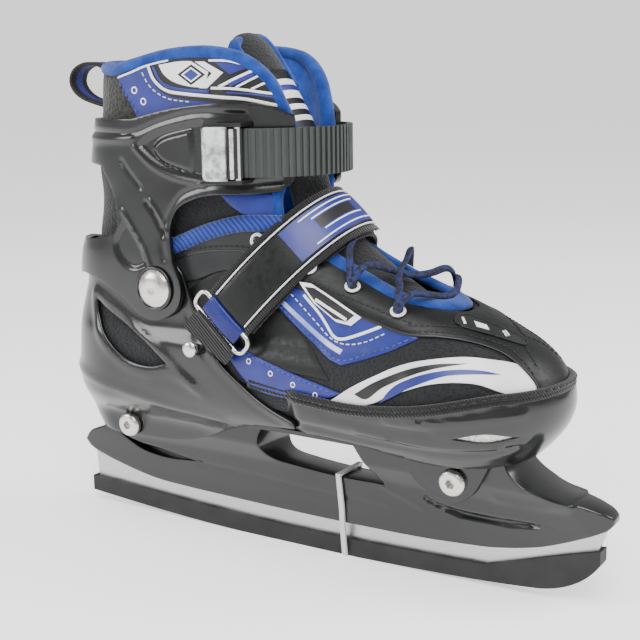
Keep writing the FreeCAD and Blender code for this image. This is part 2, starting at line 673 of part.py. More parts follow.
lever_blank = padded("lever_blank", [
    [(-9, -47.2), (-9, -49.0)],
    [(-9, -49.0), (-5.5, -49.8), (0, -49.6), (5.2, -48.4), (8.6, -46.2)],
    [(8.6, -46.2), (8.8, -44.8), (8.0, -43.0), (6.2, -42.4), (4.4, -43.0), (3.6, -44.8)],
    [(3.6, -44.8), (2.2, -46.8)],
    [(2.2, -46.8), (-9, -47.2)],
], "#buckle_height - 2 * #cheek_thick - 0.6", "XY_Plane")
lever_bore = upright_pin("lever_bore", LEVER_PIN, "#lever_pin_radius + #pin_clearance")
node(on_buckle(cut("buckle_lever", lever_blank, lever_bore)), "buckle_lever")

pawl_blank = padded("pawl_blank", [
    [(-5.8, -44.6), (-5.3, -46.0), (-3.8, -46.4), (-2.3, -46.0)],
    [(-2.3, -46.0), (1.8, -43.8)],
    [(1.8, -43.8), (1.8, -42.6)],
    [(1.8, -42.6), (-2.0, -43.4), (-3.8, -42.8), (-5.4, -43.4), (-5.8, -44.6)],
], "#buckle_height - 2 * #cheek_thick - 4", "XY_Plane")
pawl_bore = upright_pin("pawl_bore", PAWL_PIN, "#pawl_pin_radius + #pin_clearance")
node(on_buckle(cut("buckle_pawl", pawl_blank, pawl_bore)), "buckle_pawl")

# ---------------------------------------------------------------- ladder strap
# Local angle 0 is the middle of the anchor slot; the tail lies under the lever.
STRAP_FROM, STRAP_TO = -188.0, 15.0
SLOT_ARC = 24.0


def sector(inner, outer, start, end):
    """Flat ring sector as an outline of two arcs and two ends."""
    corner = {}
    for name, radius in (("in", inner), ("out", outer)):
        for angle in (start, (start + end) / 2, end):
            turn = math.radians(angle)
            corner[name, angle] = V(radius * math.cos(turn), radius * math.sin(turn), 0)
    middle = (start + end) / 2
    return [
        Part.Arc(corner["in", start], corner["in", middle], corner["in", end]),
        Part.LineSegment(corner["in", end], corner["out", end]),
        Part.Arc(corner["out", end], corner["out", middle], corner["out", start]),
        Part.LineSegment(corner["out", start], corner["in", start]),
    ]


strap = doc.addObject("PartDesign::Body", "ladder_strap")
strap_planes = {f.Role: f for f in strap.Origin.OriginFeatures}
strap_sketch = strap.newObject("Sketcher::SketchObject", "strap_sketch")
strap_sketch.AttachmentSupport = [(strap_planes["XY_Plane"], "")]
strap_sketch.MapMode = "FlatFace"
strap_out = size("strap_radius")
strap_in = strap_out - size("strap_thick")
for edge in sector(strap_in, strap_out, STRAP_FROM, STRAP_TO):
    strap_sketch.addGeometry(edge)
strap_pad = strap.newObject("PartDesign::Pad", "strap_pad")
strap_pad.Profile = strap_sketch
strap_pad.SideType = "Symmetric"
bind(strap_pad, Length="#strap_width")
rib_sketch = strap.newObject("Sketcher::SketchObject", "rib_sketch")
rib_sketch.AttachmentSupport = [(strap_planes["XY_Plane"], "")]
rib_sketch.MapMode = "FlatFace"
for edge in sector(strap_out - 0.3, strap_out + size("rib_height"), -34.6, -32.4):
    rib_sketch.addGeometry(edge)
rib_pad = strap.newObject("PartDesign::Pad", "rib_pad")
rib_pad.Profile = rib_sketch
rib_pad.SideType = "Symmetric"
bind(rib_pad, Length="#strap_width")
ribs = strap.newObject("PartDesign::PolarPattern", "ribs")
ribs.Originals = [rib_pad]
ribs.Axis = (strap_sketch, ["N_Axis"])
ribs.Angle = 150
ribs.Reversed = True
bind(ribs, Occurrences="#rib_count")
strap.Tip = ribs
slot_sketch = strap.newObject("Sketcher::SketchObject", "slot_sketch")
slot_sketch.AttachmentSupport = [(strap_planes["XZ_Plane"], "")]
slot_sketch.MapMode = "FlatFace"
draw(slot_sketch, polygon([(36, -2.3), (46, -2.3), (46, 2.3), (36, 2.3)]))
slot = strap.newObject("PartDesign::Groove", "anchor_slot")
slot.Profile = slot_sketch
slot.ReferenceAxis = (slot_sketch, ["V_Axis"])
slot.Midplane = True
slot.Angle = SLOT_ARC
strap.Placement = FreeCAD.Placement(
    BUCKLE_AXIS + V(0, 0, size("strap_level")), FreeCAD.Rotation(V(0, 0, 1), 90))
node(strap, "ladder_strap")

screw = turned("strap_screw", [
    [(0, 31.4), (4.4, 31.4)],
    [(4.4, 31.4), (4.4, 32.2)],
    [(4.4, 32.2), (2.2, 32.2)],
    [(2.2, 32.2), (2.2, 40.7)],
    [(2.2, 40.7), (4.0, 40.7)],
    [(4.0, 40.7), (3.4, 41.9), (0, 42.4)],
    [(0, 42.4), (0, 31.4)],
])
screw.Placement.Rotation = FreeCAD.Rotation(V(1, 0, 0), -90)
bind(screw, Placement__Base__x="#strap_centre_place", Placement__Base__z="#strap_level")
node(screw, "strap_screw")

# ---------------------------------------------------------------- liner
# Strap frame: width runs forward and down, rise runs up and forward over the instep.
RING_AT = V(-25.0, 0, 117.0)
STRAP_TILT = 42.0
RING_SIDE = 41.6
STRAP_HALF, STRAP_RISE = 38.6, 64.0
STRAP_PLACE = FreeCAD.Placement(RING_AT, FreeCAD.Rotation(V(0, 1, 0), STRAP_TILT))


def half_arch(half, rise, start, end, steps=6):
    """Points on an upright oval over the instep, from one angle to another."""
    angles = [math.radians(start + (end - start) * i / steps) for i in range(steps + 1)]
    return [(half * math.cos(a), rise * math.sin(a)) for a in angles]


under_strap = half_arch(STRAP_HALF - 0.5, STRAP_RISE - 0.5, 0.0, 180.0)
strap_room = padded("strap_room", [
    under_strap,
    [under_strap[-1], (-60, 0)],
    [(-60, 0), (-60, 90)],
    [(-60, 90), (60, 90)],
    [(60, 90), (60, 0)],
    [(60, 0), under_strap[0]],
], "#instep_width + 1.4", "YZ_Plane")
strap_room.Placement = STRAP_PLACE
liner_wall = size("liner_wall")
SPLIT_REAR, SPLIT_STEP, SPLIT_GAP = 8.0, 36.0, 0.5
liner_outer = form("liner_outer", LINER_LEVELS, 0)
liner_inner = form("liner_inner", LINER_LEVELS, -liner_wall)
SOLE_TOP, LINER_SOLE = 68.2, 71.6
hollow = common("liner_hollow", liner_inner, box("hollow_span", (-200, -60, LINER_SOLE), (200, 60, 200)))
throat_plan = [
    [(-90, -17), (62, -17)],
    [(62, -17), (72, -12), (77, 0), (72, 12), (62, 17)],
    [(62, 17), (-90, 17)],
    [(-90, 17), (-90, -17)],
]
throat = prism("throat", throat_plan, 400, TOP_VIEW)
throat_high = common("throat_high", throat, box("throat_span", (-100, -60, 108), (100, 60, 199)))
front_side = prism("front_side", polygon([
    (SPLIT_REAR + SPLIT_GAP, SOLE_TOP), (140, SOLE_TOP), (140, 128), (72, 128), (56, 134),
    (SPLIT_STEP + SPLIT_GAP, 140), (SPLIT_STEP + SPLIT_GAP, 126), (SPLIT_REAR + SPLIT_GAP, 98)]), FAR)
ARM_CORE = ARM_OUT - arm_thick - 0.5


def sleeve_room(name, x_from, x_to):
    """Room that the liner leaves for the toe shell's sleeve and arms."""
    core = common(
        name + "_sleeve_core", form(name + "_core_form", SHELL_LEVELS, -2 * wall - 2.0),
        box(name + "_core_span", (-100, -ARM_CORE, 50), (100, ARM_CORE, 120)))
    return cut(name + "_sleeve_room", box(
        name + "_room_block", (x_from, -60, 60), (x_to, 60, ARM_HIGH + 2)), core)


front_part = cut("front_part", common("front_block", liner_outer, front_side), hollow)
node(cut("front_upper", front_part, throat_high, sleeve_room("front", 0, 20)), "front_upper")

pivot_x, pivot_z = size("pivot_place"), size("pivot_level")


def about_pivot(radius, angle):
    turn = math.radians(angle)
    return (pivot_x + radius * math.cos(turn), pivot_z + radius * math.sin(turn))


LINER_ARC, COLLAR_ARC, COLLAR_FROM = 31.0, 32.0, 42
rear_side = prism("rear_side", [
    [(-160, 66.5), (SPLIT_REAR, 66.5)],
    [(SPLIT_REAR, 66.5), (SPLIT_REAR, 98)],
    [(SPLIT_REAR, 98), (SPLIT_STEP, 126)],
    [(SPLIT_STEP, 126), (SPLIT_STEP, 138)],
    [(SPLIT_STEP, 138), (24, 142)],
    [(24, 142), about_pivot(LINER_ARC, 14)],
    [about_pivot(LINER_ARC, a) for a in (14, 55, 90, 130, 171)],
    [about_pivot(LINER_ARC, 171), about_pivot(96, 171)],
    [about_pivot(96, 171), (-160, 66.5)],
], FAR)
rear_part = cut("rear_part", common("rear_block", liner_outer, rear_side), hollow)
arm_room = cut(
    "arm_room", box("arm_room_outer", (ARM_BACK - 6, -60, ARM_LOW - 2), (60, 60, ARM_HIGH + 2)),
    box("arm_room_inner", (-100, -ARM_CORE, 60), (100, ARM_CORE, 120)))
floor_room = box("floor_room", (-24, -60, 60), (60, 60, SOLE_TOP))
node(cut("rear_upper", rear_part, throat_high, arm_room, sleeve_room("rear", -34, 36), floor_room,
         strap_room), "rear_upper")

insole_form = form("insole_form", LINER_LEVELS, -liner_wall - 3.0)
insole_top = LINER_SOLE + 0.2 + size("insole_thick")
node(common("insole", insole_form, box(
    "insole_span", (-200, -60, LINER_SOLE + 0.2), (98, 60, insole_top))), "insole")

collar_side = prism("collar_side", [
    [(-160, 231.5), (-112, 231.5)],
    [(-112, 231.5), (-90, 229.5), (-60, 236), (-34.4, 237.0), (-18, 233), (-6, 224), (2, 212), (4, 200)],
    [(4, 200), (2, 192), (-3, 184), about_pivot(72, COLLAR_FROM)],
    [about_pivot(72, COLLAR_FROM), about_pivot(COLLAR_ARC, COLLAR_FROM)],
    [about_pivot(COLLAR_ARC, a) for a in (COLLAR_FROM, 68, 95, 130, 164)],
    [about_pivot(COLLAR_ARC, 164), about_pivot(98, 164)],
    [about_pivot(98, 164), (-160, 231.5)],
], FAR)
collar_ring = shell("collar_ring", COLLAR_LEVELS, collar_side, 0, -6.0)
collar_gap = box("collar_gap", (-40, -16, 130), (60, 16, 260))
node(cut("collar", collar_ring, collar_gap), "collar")


tongue_top = padded("tongue_upper", [
    [(4.0, 196), (1, 203), (-8, 216), (-18, 231), (-27, 242.5), (-35, 247)],
    [(-35, 247), (-41, 243), (-33, 232), (-22, 218), (-13, 204), (-8, 196)],
    [(-8, 196), (4.0, 196)],
], "30")
node(tongue_top, "tongue_upper")
tongue_low = padded("tongue_lower", [
    [(64, 126.6), (54, 131.4), (42, 138.6), (27, 149), (13, 160)],
    [(13, 160), (6, 154)],
    [(6, 154), (22, 141.6), (42, 130), (52, 125), (62, 121)],
    [(62, 121), (64, 126.6)],
], "30")
node(tongue_low, "tongue_lower")

loop_outline = [
    [(-116.4, 230), (-125, 235), (-136, 231.5), (-141.6, 224), (-135, 216), (-123, 211)],
    [(-123, 211), (-120.6, 212.6)],
    [(-120.6, 212.6), (-132.5, 218.2), (-139.0, 224.2), (-134, 229.6), (-125.2, 233), (-117.6, 228.4)],
    [(-117.6, 228.4), (-116.4, 230)],
]
node(padded("pull_loop", loop_outline, "#loop_width"), "pull_loop")

# ---------------------------------------------------------------- instep strap and its ring

def ring_frame(name, half_long, half_wide, thickness):
    return box(name, (-half_long, -RING_SIDE - thickness / 2, -half_wide),
               (half_long, -RING_SIDE + thickness / 2, half_wide))


wire = size("ring_wire")
ring_half, ring_high = size("ring_length") / 2, size("ring_width") / 2
ring_solid = cut(
    "strap_ring", ring_frame("ring_block", ring_half, ring_high, wire),
    ring_frame("ring_hole", ring_half - wire, ring_high - wire, 4 * wire))
ring_solid.Placement = STRAP_PLACE
node(ring_solid, "strap_ring")


def arch(name, grow, side_from, side_to):
    """Half oval band over the instep, in the plane across the strap."""
    thick = size("instep_thick")
    half, rise = STRAP_HALF + grow, STRAP_RISE + grow
    inner = half_arch(half, rise, side_from, side_to)
    outer = half_arch(half + thick, rise + thick, side_to, side_from)
    ends = [[inner[-1], outer[0]], [outer[-1], inner[0]]]
    band = padded(name, [inner, ends[0], outer, ends[1]], "#instep_width", "YZ_Plane")
    band.Placement = STRAP_PLACE
    return band


node(arch("instep_strap", 0, 0.0, 176.0), "instep_strap")
node(arch("strap_flap", 2.0, 78.0, 171.0), "strap_flap")
tab_outline = polygon([(-14, -18), (14, -14), (14, -5.7), (-14, -5.7)])
ring_tab = padded("ring_tab", tab_outline, "1.4")
ring_tab.Placement = STRAP_PLACE * FreeCAD.Placement(V(0, -RING_SIDE + 0.5, 0), FreeCAD.Rotation())
node(ring_tab, "ring_tab")

# ---------------------------------------------------------------- eyelets and lace
EYELETS_REAR = [(-18, 25.0, 154.5), (29, 24.5, 141.4)]
EYELETS_FRONT = [(53, 22.5, 134.8)]


def eyelet(name, spot, side):
    """Flat washer tipped to lie on the slope of the upper."""
    radius, hole = size("eyelet_radius"), size("eyelet_hole")
    washer = turned(name, polygon([(hole, 0), (radius, 0), (radius, 0.8), (hole, 0.8)]))
    washer.Placement = FreeCAD.Placement(
        V(spot[0], side * spot[1], spot[2]),
        FreeCAD.Rotation(V(0, 1, 0), 28) * FreeCAD.Rotation(V(1, 0, 0), -52 * side))
    return washer


def eyelet_group(name, spots):
    return group(name, *[
        eyelet("%s_%d_%s" % (name, i, "outer" if side < 0 else "inner"), spot, side)
        for i, spot in enumerate(spots) for side in (-1, 1)])


node(eyelet_group("rear_eyelets", EYELETS_REAR), "rear_eyelets")
node(eyelet_group("front_eyelets", EYELETS_FRONT), "front_eyelets")

LACE_ROUTE = [
    (38.5, -19, 141), (42, -11, 147), (47, 0, 148), (52, 11, 143.5), (54.5, 19, 138.5),
]


def rounded_run(points):
    """Straight runs joined by tangent arcs as large as the runs allow."""
    points = [V(*p) for p in points]
    edges, start = [], points[0]
    for before, corner, after in zip(points, points[1:], points[2:]):
        back, ahead = before - corner, after - corner
        reach = 0.45 * min(back.Length, ahead.Length)
        turn = math.pi - back.getAngle(ahead)
        radius = reach / math.tan(turn / 2)
        enter = corner + back.normalize() * reach
        leave = corner + ahead.normalize() * reach
        bisector = (enter + leave) * 0.5 - corner
        apex = math.hypot(radius, reach) - radius
        middle = corner + bisector.normalize() * apex
        edges.append(Part.LineSegment(start, enter).toShape())
        edges.append(Part.Arc(enter, middle, leave).toShape())
        start = leave
        print("lace bend radius %.1f mm" % radius)
    edges.append(Part.LineSegment(start, points[-1]).toShape())
    return Part.Wire(edges)


def tube(name, points, radius):
    path = rounded_run(points)
    ring = Part.Wire([Part.Circle(V(*points[0]), V(*points[1]) - V(*points[0]), radius).toShape()])
    solid = doc.addObject("Part::Feature", name)
    solid.Shape = path.makePipeShell([ring], True, False)
    return solid


mirrored_route = [(x + 1.5, -y, z + 3.6) for x, y, z in LACE_ROUTE]
node(group(
    "laces", tube("lace_over", LACE_ROUTE, size("lace_radius")),
    tube("lace_cross", mirrored_route, size("lace_radius"))), "laces")

# ---------------------------------------------------------------- check and write
doc.recompute()
for obj in doc.Objects:
    if "Invalid" in obj.State or "Error" in obj.State:
        raise RuntimeError("%s failed: %s" % (obj.Label, obj.State))
os.makedirs("parts", exist_ok=True)
for obj in NODES:
    shape = obj.Shape
    if shape.isNull() or not shape.isValid() or not shape.Solids:
        raise RuntimeError("%s has no valid solid" % obj.Label)
    shape.exportStep("parts/%s.step" % obj.Label)
    span = shape.BoundBox
    print("%-16s solids %d  volume %8.0f  x %.1f..%.1f  y %.1f..%.1f  z %.1f..%.1f" % (
        obj.Label, len(shape.Solids), shape.Volume, span.XMin, span.XMax, span.YMin, span.YMax,
        span.ZMin, span.ZMax))
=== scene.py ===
"""Looks for the adjustable ice skate: moulded shells, sewn liner, straps and laces around the CAD frame.

Design places below are in millimetres in the CAD frame: +X toe, -Y outer side, +Z up.
"""
import bpy
import math
import numpy as np
from mathutils import Vector, Matrix
from mathutils.geometry import delaunay_2d_cdt


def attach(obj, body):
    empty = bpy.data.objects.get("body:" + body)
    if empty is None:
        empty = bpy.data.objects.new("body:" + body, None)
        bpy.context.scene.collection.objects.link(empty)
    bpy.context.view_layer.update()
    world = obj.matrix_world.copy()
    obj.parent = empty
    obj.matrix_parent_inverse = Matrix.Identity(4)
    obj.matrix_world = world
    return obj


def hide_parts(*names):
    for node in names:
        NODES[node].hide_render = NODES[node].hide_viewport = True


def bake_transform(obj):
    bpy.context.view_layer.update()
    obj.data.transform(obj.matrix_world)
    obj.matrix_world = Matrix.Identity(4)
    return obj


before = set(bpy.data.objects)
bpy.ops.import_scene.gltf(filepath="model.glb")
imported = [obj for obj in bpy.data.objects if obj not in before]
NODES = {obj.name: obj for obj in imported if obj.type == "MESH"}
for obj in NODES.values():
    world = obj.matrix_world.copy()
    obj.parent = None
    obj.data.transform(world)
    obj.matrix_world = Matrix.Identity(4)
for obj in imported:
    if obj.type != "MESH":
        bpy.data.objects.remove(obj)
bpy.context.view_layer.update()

MM = 0.001


# ---------------------------------------------------------------- curves and outlines
def smooth(points, step=2.0, closed=False):
    """Catmull-Rom curve through points of any dimension, sampled about every step."""
    points = [np.array(p, float) for p in points]
    count = len(points)
    if count == 2 and not closed:
        pieces = max(1, int(np.linalg.norm(points[1] - points[0]) / step))
        return [points[0] + (points[1] - points[0]) * i / pieces for i in range(pieces + 1)]
    out = []
    for i in range(count if closed else count - 1):
        if closed:
            a, b, c, d = [points[(i + k) % count] for k in (-1, 0, 1, 2)]
        else:
            b, c = points[i], points[i + 1]
            a = points[i - 1] if i else 2 * b - c
            d = points[i + 2] if i + 2 < count else 2 * c - b
        pieces = max(1, int(round(np.linalg.norm(c - b) / step)))
        for k in range(pieces):
            t = k / pieces
            out.append(0.5 * ((2 * b) + (c - a) * t + (2 * a - 5 * b + 4 * c - d) * t * t
                              + (3 * b - a - 3 * c + d) * t ** 3))
    if not closed:
        out.append(points[-1])
    return out


def trace(stretches, step=2.0):
    """Closed outline from stretches: two points make a line, more make a smooth curve."""
    loop = []
    for stretch in stretches:
        loop += smooth(stretch, step)[:-1]
    return loop


def straight(points):
    """Stretches of a closed outline with straight sides."""
    return [[a, b] for a, b in zip(points, points[1:] + points[:1])]


def inside(loop, points):
    """Which of the points lie inside a closed outline."""
    loop, points = np.array(loop), np.array(points)
    x, y = points[:, 0], points[:, 1]
    odd = np.zeros(len(points), bool)
    for (x1, y1), (x2, y2) in zip(loop, np.roll(loop, -1, 0)):
        if y1 != y2:
            crosses = ((y1 > y) != (y2 > y)) & (x < (x2 - x1) * (y - y1) / (y2 - y1) + x1)
            odd ^= crosses
    return odd


def gap(path, points, closed=False):
    """Distance from each point to a path."""
    path, points = np.array(path, float), np.array(points, float)
    ends = np.roll(path, -1, 0) if closed else path[1:]
    starts = path if closed else path[:-1]
    best = np.full(len(points), 1e9)
    for a, b in zip(starts, ends):
        ab = b - a
        t = np.clip(((points - a) @ ab) / max(ab @ ab, 1e-9), 0, 1)
        best = np.minimum(best, np.linalg.norm(points - a - t[:, None] * ab, axis=1))
    return best


def fill(outline, holes=(), step=2.0):
    """Triangles that fill a flat outline, with holes, on an even grid."""
    loops = [np.array(loop, float) for loop in [outline] + list(holes)]
    low, high = loops[0].min(0), loops[0].max(0)
    xs = np.arange(low[0] + step / 2, high[0], step)
    ys = np.arange(low[1] + step / 2, high[1], step * 0.87)
    grid = np.array([(x + (step / 2 if j % 2 else 0), y) for j, y in enumerate(ys) for x in xs])
    if len(grid):
        keep = inside(loops[0], grid)
        for hole in loops[1:]:
            keep &= ~inside(hole, grid)
        grid = grid[keep]
        for loop in loops:
            grid = grid[gap(loop, grid, True) > step * 0.55] if len(grid) else grid
    verts, edges = [], []
    for loop in loops:
        first = len(verts)
        verts += [Vector(p) for p in loop]
        edges += [(first + i, first + (i + 1) % len(loop)) for i in range(len(loop))]
    verts += [Vector(p) for p in grid]
    points, _, faces = delaunay_2d_cdt(verts, edges, [], 0, 1e-5)[:3]
    points = np.array([tuple(p) for p in points])
    centres = np.array([points[list(f)].mean(0) for f in faces])
    keep = inside(loops[0], centres)
    for hole in loops[1:]:
        keep &= ~inside(hole, centres)
    return points, [tuple(f) for f, k in zip(faces, keep) if k]


# ---------------------------------------------------------------- meshes
def mesh(name, verts, faces, *materials):
    data = bpy.data.meshes.new(name)
    data.from_pydata([tuple(float(c) * MM for c in v) for v in verts], [], [tuple(f) for f in faces])
    data.validate()
    for item in materials:
        data.materials.append(item)
    obj = bpy.data.objects.new(name, data)
    bpy.context.scene.collection.objects.link(obj)
    for polygon in data.polygons:
        polygon.use_smooth = True
    return obj


def bake(obj):
    """Turns the modifiers' result into the object's own mesh."""
    bpy.context.view_layer.update()
    shape = bpy.data.meshes.new_from_object(obj.evaluated_get(bpy.context.evaluated_depsgraph_get()))
    obj.modifiers.clear()
    obj.data = shape
    return obj


def shade(obj, angle=35):
    with bpy.context.temp_override(object=obj, active_object=obj, selected_objects=[obj],
                                   selected_editable_objects=[obj]):
        bpy.ops.object.shade_smooth_by_angle(angle=math.radians(angle))
    return obj


def finish_solid(obj, thick=0.0, bevel=0.0, inner=0):
    """Gives a sheet its thickness inwards and rounds the sharp rims."""
    if thick:
        solid = obj.modifiers.new("thickness", "SOLIDIFY")
        solid.thickness = thick * MM
        solid.offset = -1
        solid.use_even_offset = False
        solid.material_offset = inner
        solid.material_offset_rim = 0
    if bevel:
        round_rim = obj.modifiers.new("rim", "BEVEL")
        round_rim.width = bevel * MM
        round_rim.segments = 2
        round_rim.limit_method = "ANGLE"
        round_rim.angle_limit = math.radians(50)
        round_rim.harden_normals = False
    return shade(bake(obj), 50)


def sweep(points, width, height, closed=False, normals=None, sides=10):
    """Points and faces of a rounded band along a path: width across, height along the normal."""
    path = np.array(points, float)
    count = len(path)
    ahead = np.roll(path, -1, 0) - np.roll(path, 1, 0)
    if not closed:
        ahead[0], ahead[-1] = path[1] - path[0], path[-1] - path[-2]
    ahead /= np.maximum(np.linalg.norm(ahead, axis=1)[:, None], 1e-9)
    up = np.array([0, 0, 1.0]) if abs(ahead[0][2]) < 0.9 else np.array([0, 1.0, 0])
    verts, faces = [], []
    for i in range(count):
        if normals is not None:
            up = np.array(normals[i], float)
        up = up - ahead[i] * (up @ ahead[i])
        up /= max(np.linalg.norm(up), 1e-9)
        side = np.cross(ahead[i], up)
        for k in range(sides):
            turn = 2 * math.pi * k / sides
            verts.append(path[i] + side * width / 2 * math.cos(turn) + up * height / 2 * math.sin(turn))
    for i in range(count if closed else count - 1):
        j = (i + 1) % count
        for k in range(sides):
            m = (k + 1) % sides
            faces.append((i * sides + k, j * sides + k, j * sides + m, i * sides + m))
    if not closed:
        faces.append(tuple(range(sides)))
        faces.append(tuple(reversed(range((count - 1) * sides, count * sides))))
    return verts, faces


def join(parts):
    """One list of points and faces from several."""
    verts, faces = [], []
    for more_verts, more_faces in parts:
        faces += [tuple(i + len(verts) for i in f) for f in more_faces]
        verts += list(more_verts)
    return verts, faces


def dashes(path, normals, pitch, share, width, height):
    """Stitches along a dense path."""
    path, normals = np.array(path), np.array(normals)
    run = np.concatenate([[0], np.cumsum(np.linalg.norm(np.diff(path, axis=0), axis=1))])
    parts, at = [], pitch * 0.3
    while at + pitch * share < run[-1]:
        spots = np.linspace(at, at + pitch * share, 4)
        line = np.array([[np.interp(s, run, path[:, k]) for k in range(3)] for s in spots])
        turn = np.array([[np.interp(s, run, normals[:, k]) for k in range(3)] for s in spots])
        parts.append(sweep(line, width, height, normals=turn, sides=6))
        at += pitch
    return parts


# ---------------------------------------------------------------- boot forms
HEEL_ROUND, TOE_ROUND = 1.15, 1.25


class Form:
    """Boot-shaped surface through plan outlines: (height, back, front, half at heel, half at ball)."""

    def __init__(self, levels):
        table = np.array(levels, float)
        self.z, self.values = table[:, 0], table[:, 1:]
        middle = self.values[len(self.values) // 2]
        self.heel_run = 1.45 * HEEL_ROUND * middle[2]
        toe_run = 1.45 * TOE_ROUND * middle[3]
        straight = (middle[1] - TOE_ROUND * middle[3]) - (middle[0] + HEEL_ROUND * middle[2])
        self.toe_start = self.heel_run + straight
        self.length = self.toe_start + toe_run

    def at(self, z, grow=0.0):
        """Back, front and half widths at a height, on a smooth curve through the levels."""
        z = min(max(z, self.z[0]), self.z[-1])
        i = int(min(max(np.searchsorted(self.z, z) - 1, 0), len(self.z) - 2))
        h = self.z[i + 1] - self.z[i]
        t = (z - self.z[i]) / h

        def slope(k):
            low, high = max(k - 1, 0), min(k + 1, len(self.z) - 1)
            return (self.values[high] - self.values[low]) / (self.z[high] - self.z[low])

        value = ((2 * t ** 3 - 3 * t * t + 1) * self.values[i] + (t ** 3 - 2 * t * t + t) * h * slope(i)
                 + (3 * t * t - 2 * t ** 3) * self.values[i + 1] + (t ** 3 - t * t) * h * slope(i + 1))
        return value + np.array([-grow, grow, grow, grow])

    def half(self, x, z, grow=0.0):
        """Half width of the form at a place."""
        back, front, heel, ball = self.at(z, grow)
        heel_x, toe_x = back + HEEL_ROUND * heel, front - TOE_ROUND * ball
        if x < heel_x:
            return heel * math.sqrt(max(0.0, 1 - ((heel_x - x) / (HEEL_ROUND * heel)) ** 2))
        if x > toe_x:
            return ball * math.sqrt(max(0.0, 1 - ((x - toe_x) / (TOE_ROUND * ball)) ** 2))
        return heel + (ball - heel) * (x - heel_x) / max(toe_x - heel_x, 1e-6)

    def flat(self, x, z):
        """Unrolled place (run round the form from the back, height) of a side-view place."""
        back, front, heel, ball = self.at(z)
        heel_x, toe_x = back + HEEL_ROUND * heel, front - TOE_ROUND * ball
        if x < heel_x:
            share = max(-1.0, min(1.0, (heel_x - x) / (HEEL_ROUND * heel)))
            return (self.heel_run * math.acos(share) / (math.pi / 2), z)
        if x > toe_x:
            share = min(1.0, (x - toe_x) / (TOE_ROUND * ball))
            return (self.toe_start + (self.length - self.toe_start) * math.asin(share) / (math.pi / 2), z)
        return (self.heel_run + (self.toe_start - self.heel_run) * (x - heel_x) / (toe_x - heel_x), z)

    def place(self, run, z, grow=0.0):
        """Point for an unrolled place; a positive run is on the outer side."""
        side, run = (-1 if run > 0 else 1), abs(run)
        if run > self.length:
            side, run = -side, 2 * self.length - run
        back, front, heel, ball = self.at(z, grow)
        heel_x, toe_x = back + HEEL_ROUND * heel, front - TOE_ROUND * ball
        if run < self.heel_run:
            turn = run / self.heel_run * math.pi / 2
            return np.array([heel_x - HEEL_ROUND * heel * math.cos(turn), side * heel * math.sin(turn), z])
        if run > self.toe_start:
            turn = (run - self.toe_start) / (self.length - self.toe_start) * math.pi / 2
            return np.array([toe_x + TOE_ROUND * ball * math.sin(turn), side * ball * math.cos(turn), z])
        share = (run - self.heel_run) / (self.toe_start - self.heel_run)
        return np.array([heel_x + (toe_x - heel_x) * share, side * (heel + (ball - heel) * share), z])

    def normal(self, run, z, grow=0.0):
        """Outward direction at an unrolled place."""
        along = self.place(run + 0.4, z, grow) - self.place(run - 0.4, z, grow)
        if abs(run) < 0.5:
            along = np.array([0, -1.0, 0])
        up = self.place(run, z + 0.4, grow) - self.place(run, z - 0.4, grow)
        out = np.cross(along, up)
        return out / max(np.linalg.norm(out), 1e-9)

    def on(self, x, z, side=-1, lift=0.0):
        """Point and outward direction on one side, for a side-view place."""
        run = self.flat(x, z)[0] * (1 if side < 0 else -1)
        out = self.normal(run, z)
        return self.place(run, z) + out * lift, out


SHELL = Form([
    (46, -130.0, 98, 18.8, 18.8),
    (57, -136.0, 106, 19.8, 26),
    (64, -137.5, 112, 26.5, 32),
    (71, -138.8, 119, 33.0, 38),
    (80, -139.5, 125, 36.5, 42.5),
    (90, -138.4, 127, 37.5, 44),
    (103, -137.2, 123, 37.5, 43.0),
    (110, -136.2, 118, 35.6, 37.0),
    (120, -133.2, 108, 35.2, 35.4),
    (126, -131.4, 100, 35.2, 35.2),
    (152, -130.0, 80, 35.2, 35.2),
])
CUFF = Form([
    (108, -135.8, 14, 39.2, 38.6),
    (128, -134.8, 18, 39.2, 38.6),
    (142, -133.2, 20, 39.0, 38.0),
    (152, -129.4, 22, 38.6, 37.2),
    (170, -124.2, 14, 38.0, 36.6),
    (182, -125.4, 10, 37.6, 36.0),
    (208, -121.0, 10, 37.2, 35.8),
    (220, -119.6, 10, 37.2, 35.8),
])
UPPER = Form([
    (64, -123.0, 110, 22.0, 27.0),
    (72, -131.6, 116, 29.6, 34.4),
    (80, -135.2, 121, 33.0, 40.0),
    (92, -134.2, 124, 34.0, 41.2),
    (102, -133.2, 120, 34.0, 39.4),
    (110, -131.2, 112, 31.9, 34.4),
    (116, -129.4, 101, 31.8, 32.8),
    (124, -127.4, 84, 31.6, 32.2),
    (132, -126.6, 60, 31.4, 31.8),
    (142, -125.4, 36, 31.2, 31.2),
    (152, -124.4, 20, 31.0, 30.0),
    (164, -123.0, 14, 31.0, 29.0),
])
COLLAR = Form([
    (138, -125.0, 20, 31.6, 30.6),
    (152, -124.2, 16, 31.6, 30.6),
    (170, -120.4, 9, 32.4, 30.6),
    (190, -120.2, 6, 32.6, 30.4),
    (208, -117.2, 6, 32.6, 30.2),
    (224, -116.0, 5, 32.6, 30.0),
    (240, -113.5, 3, 32.6, 30.0),
])


def mirrored(loop):
    return [(-run, z) for run, z in reversed(loop)]


def unroll(form, stretches, step=2.0):
    """Side-view stretches as one open or closed path on the unrolled form."""
    return [form.flat(float(x), float(z)) for x, z in trace(stretches, step)]


def line_on(form, points, step=2.0):
    return [form.flat(float(x), float(z)) for x, z in smooth(points, step)]


def ridge(path, width, height):
    """Relief along an unrolled path: a raised or sunk line with soft sides."""
    return lambda spots: height * np.exp(-(gap(path, spots) / width) ** 2)


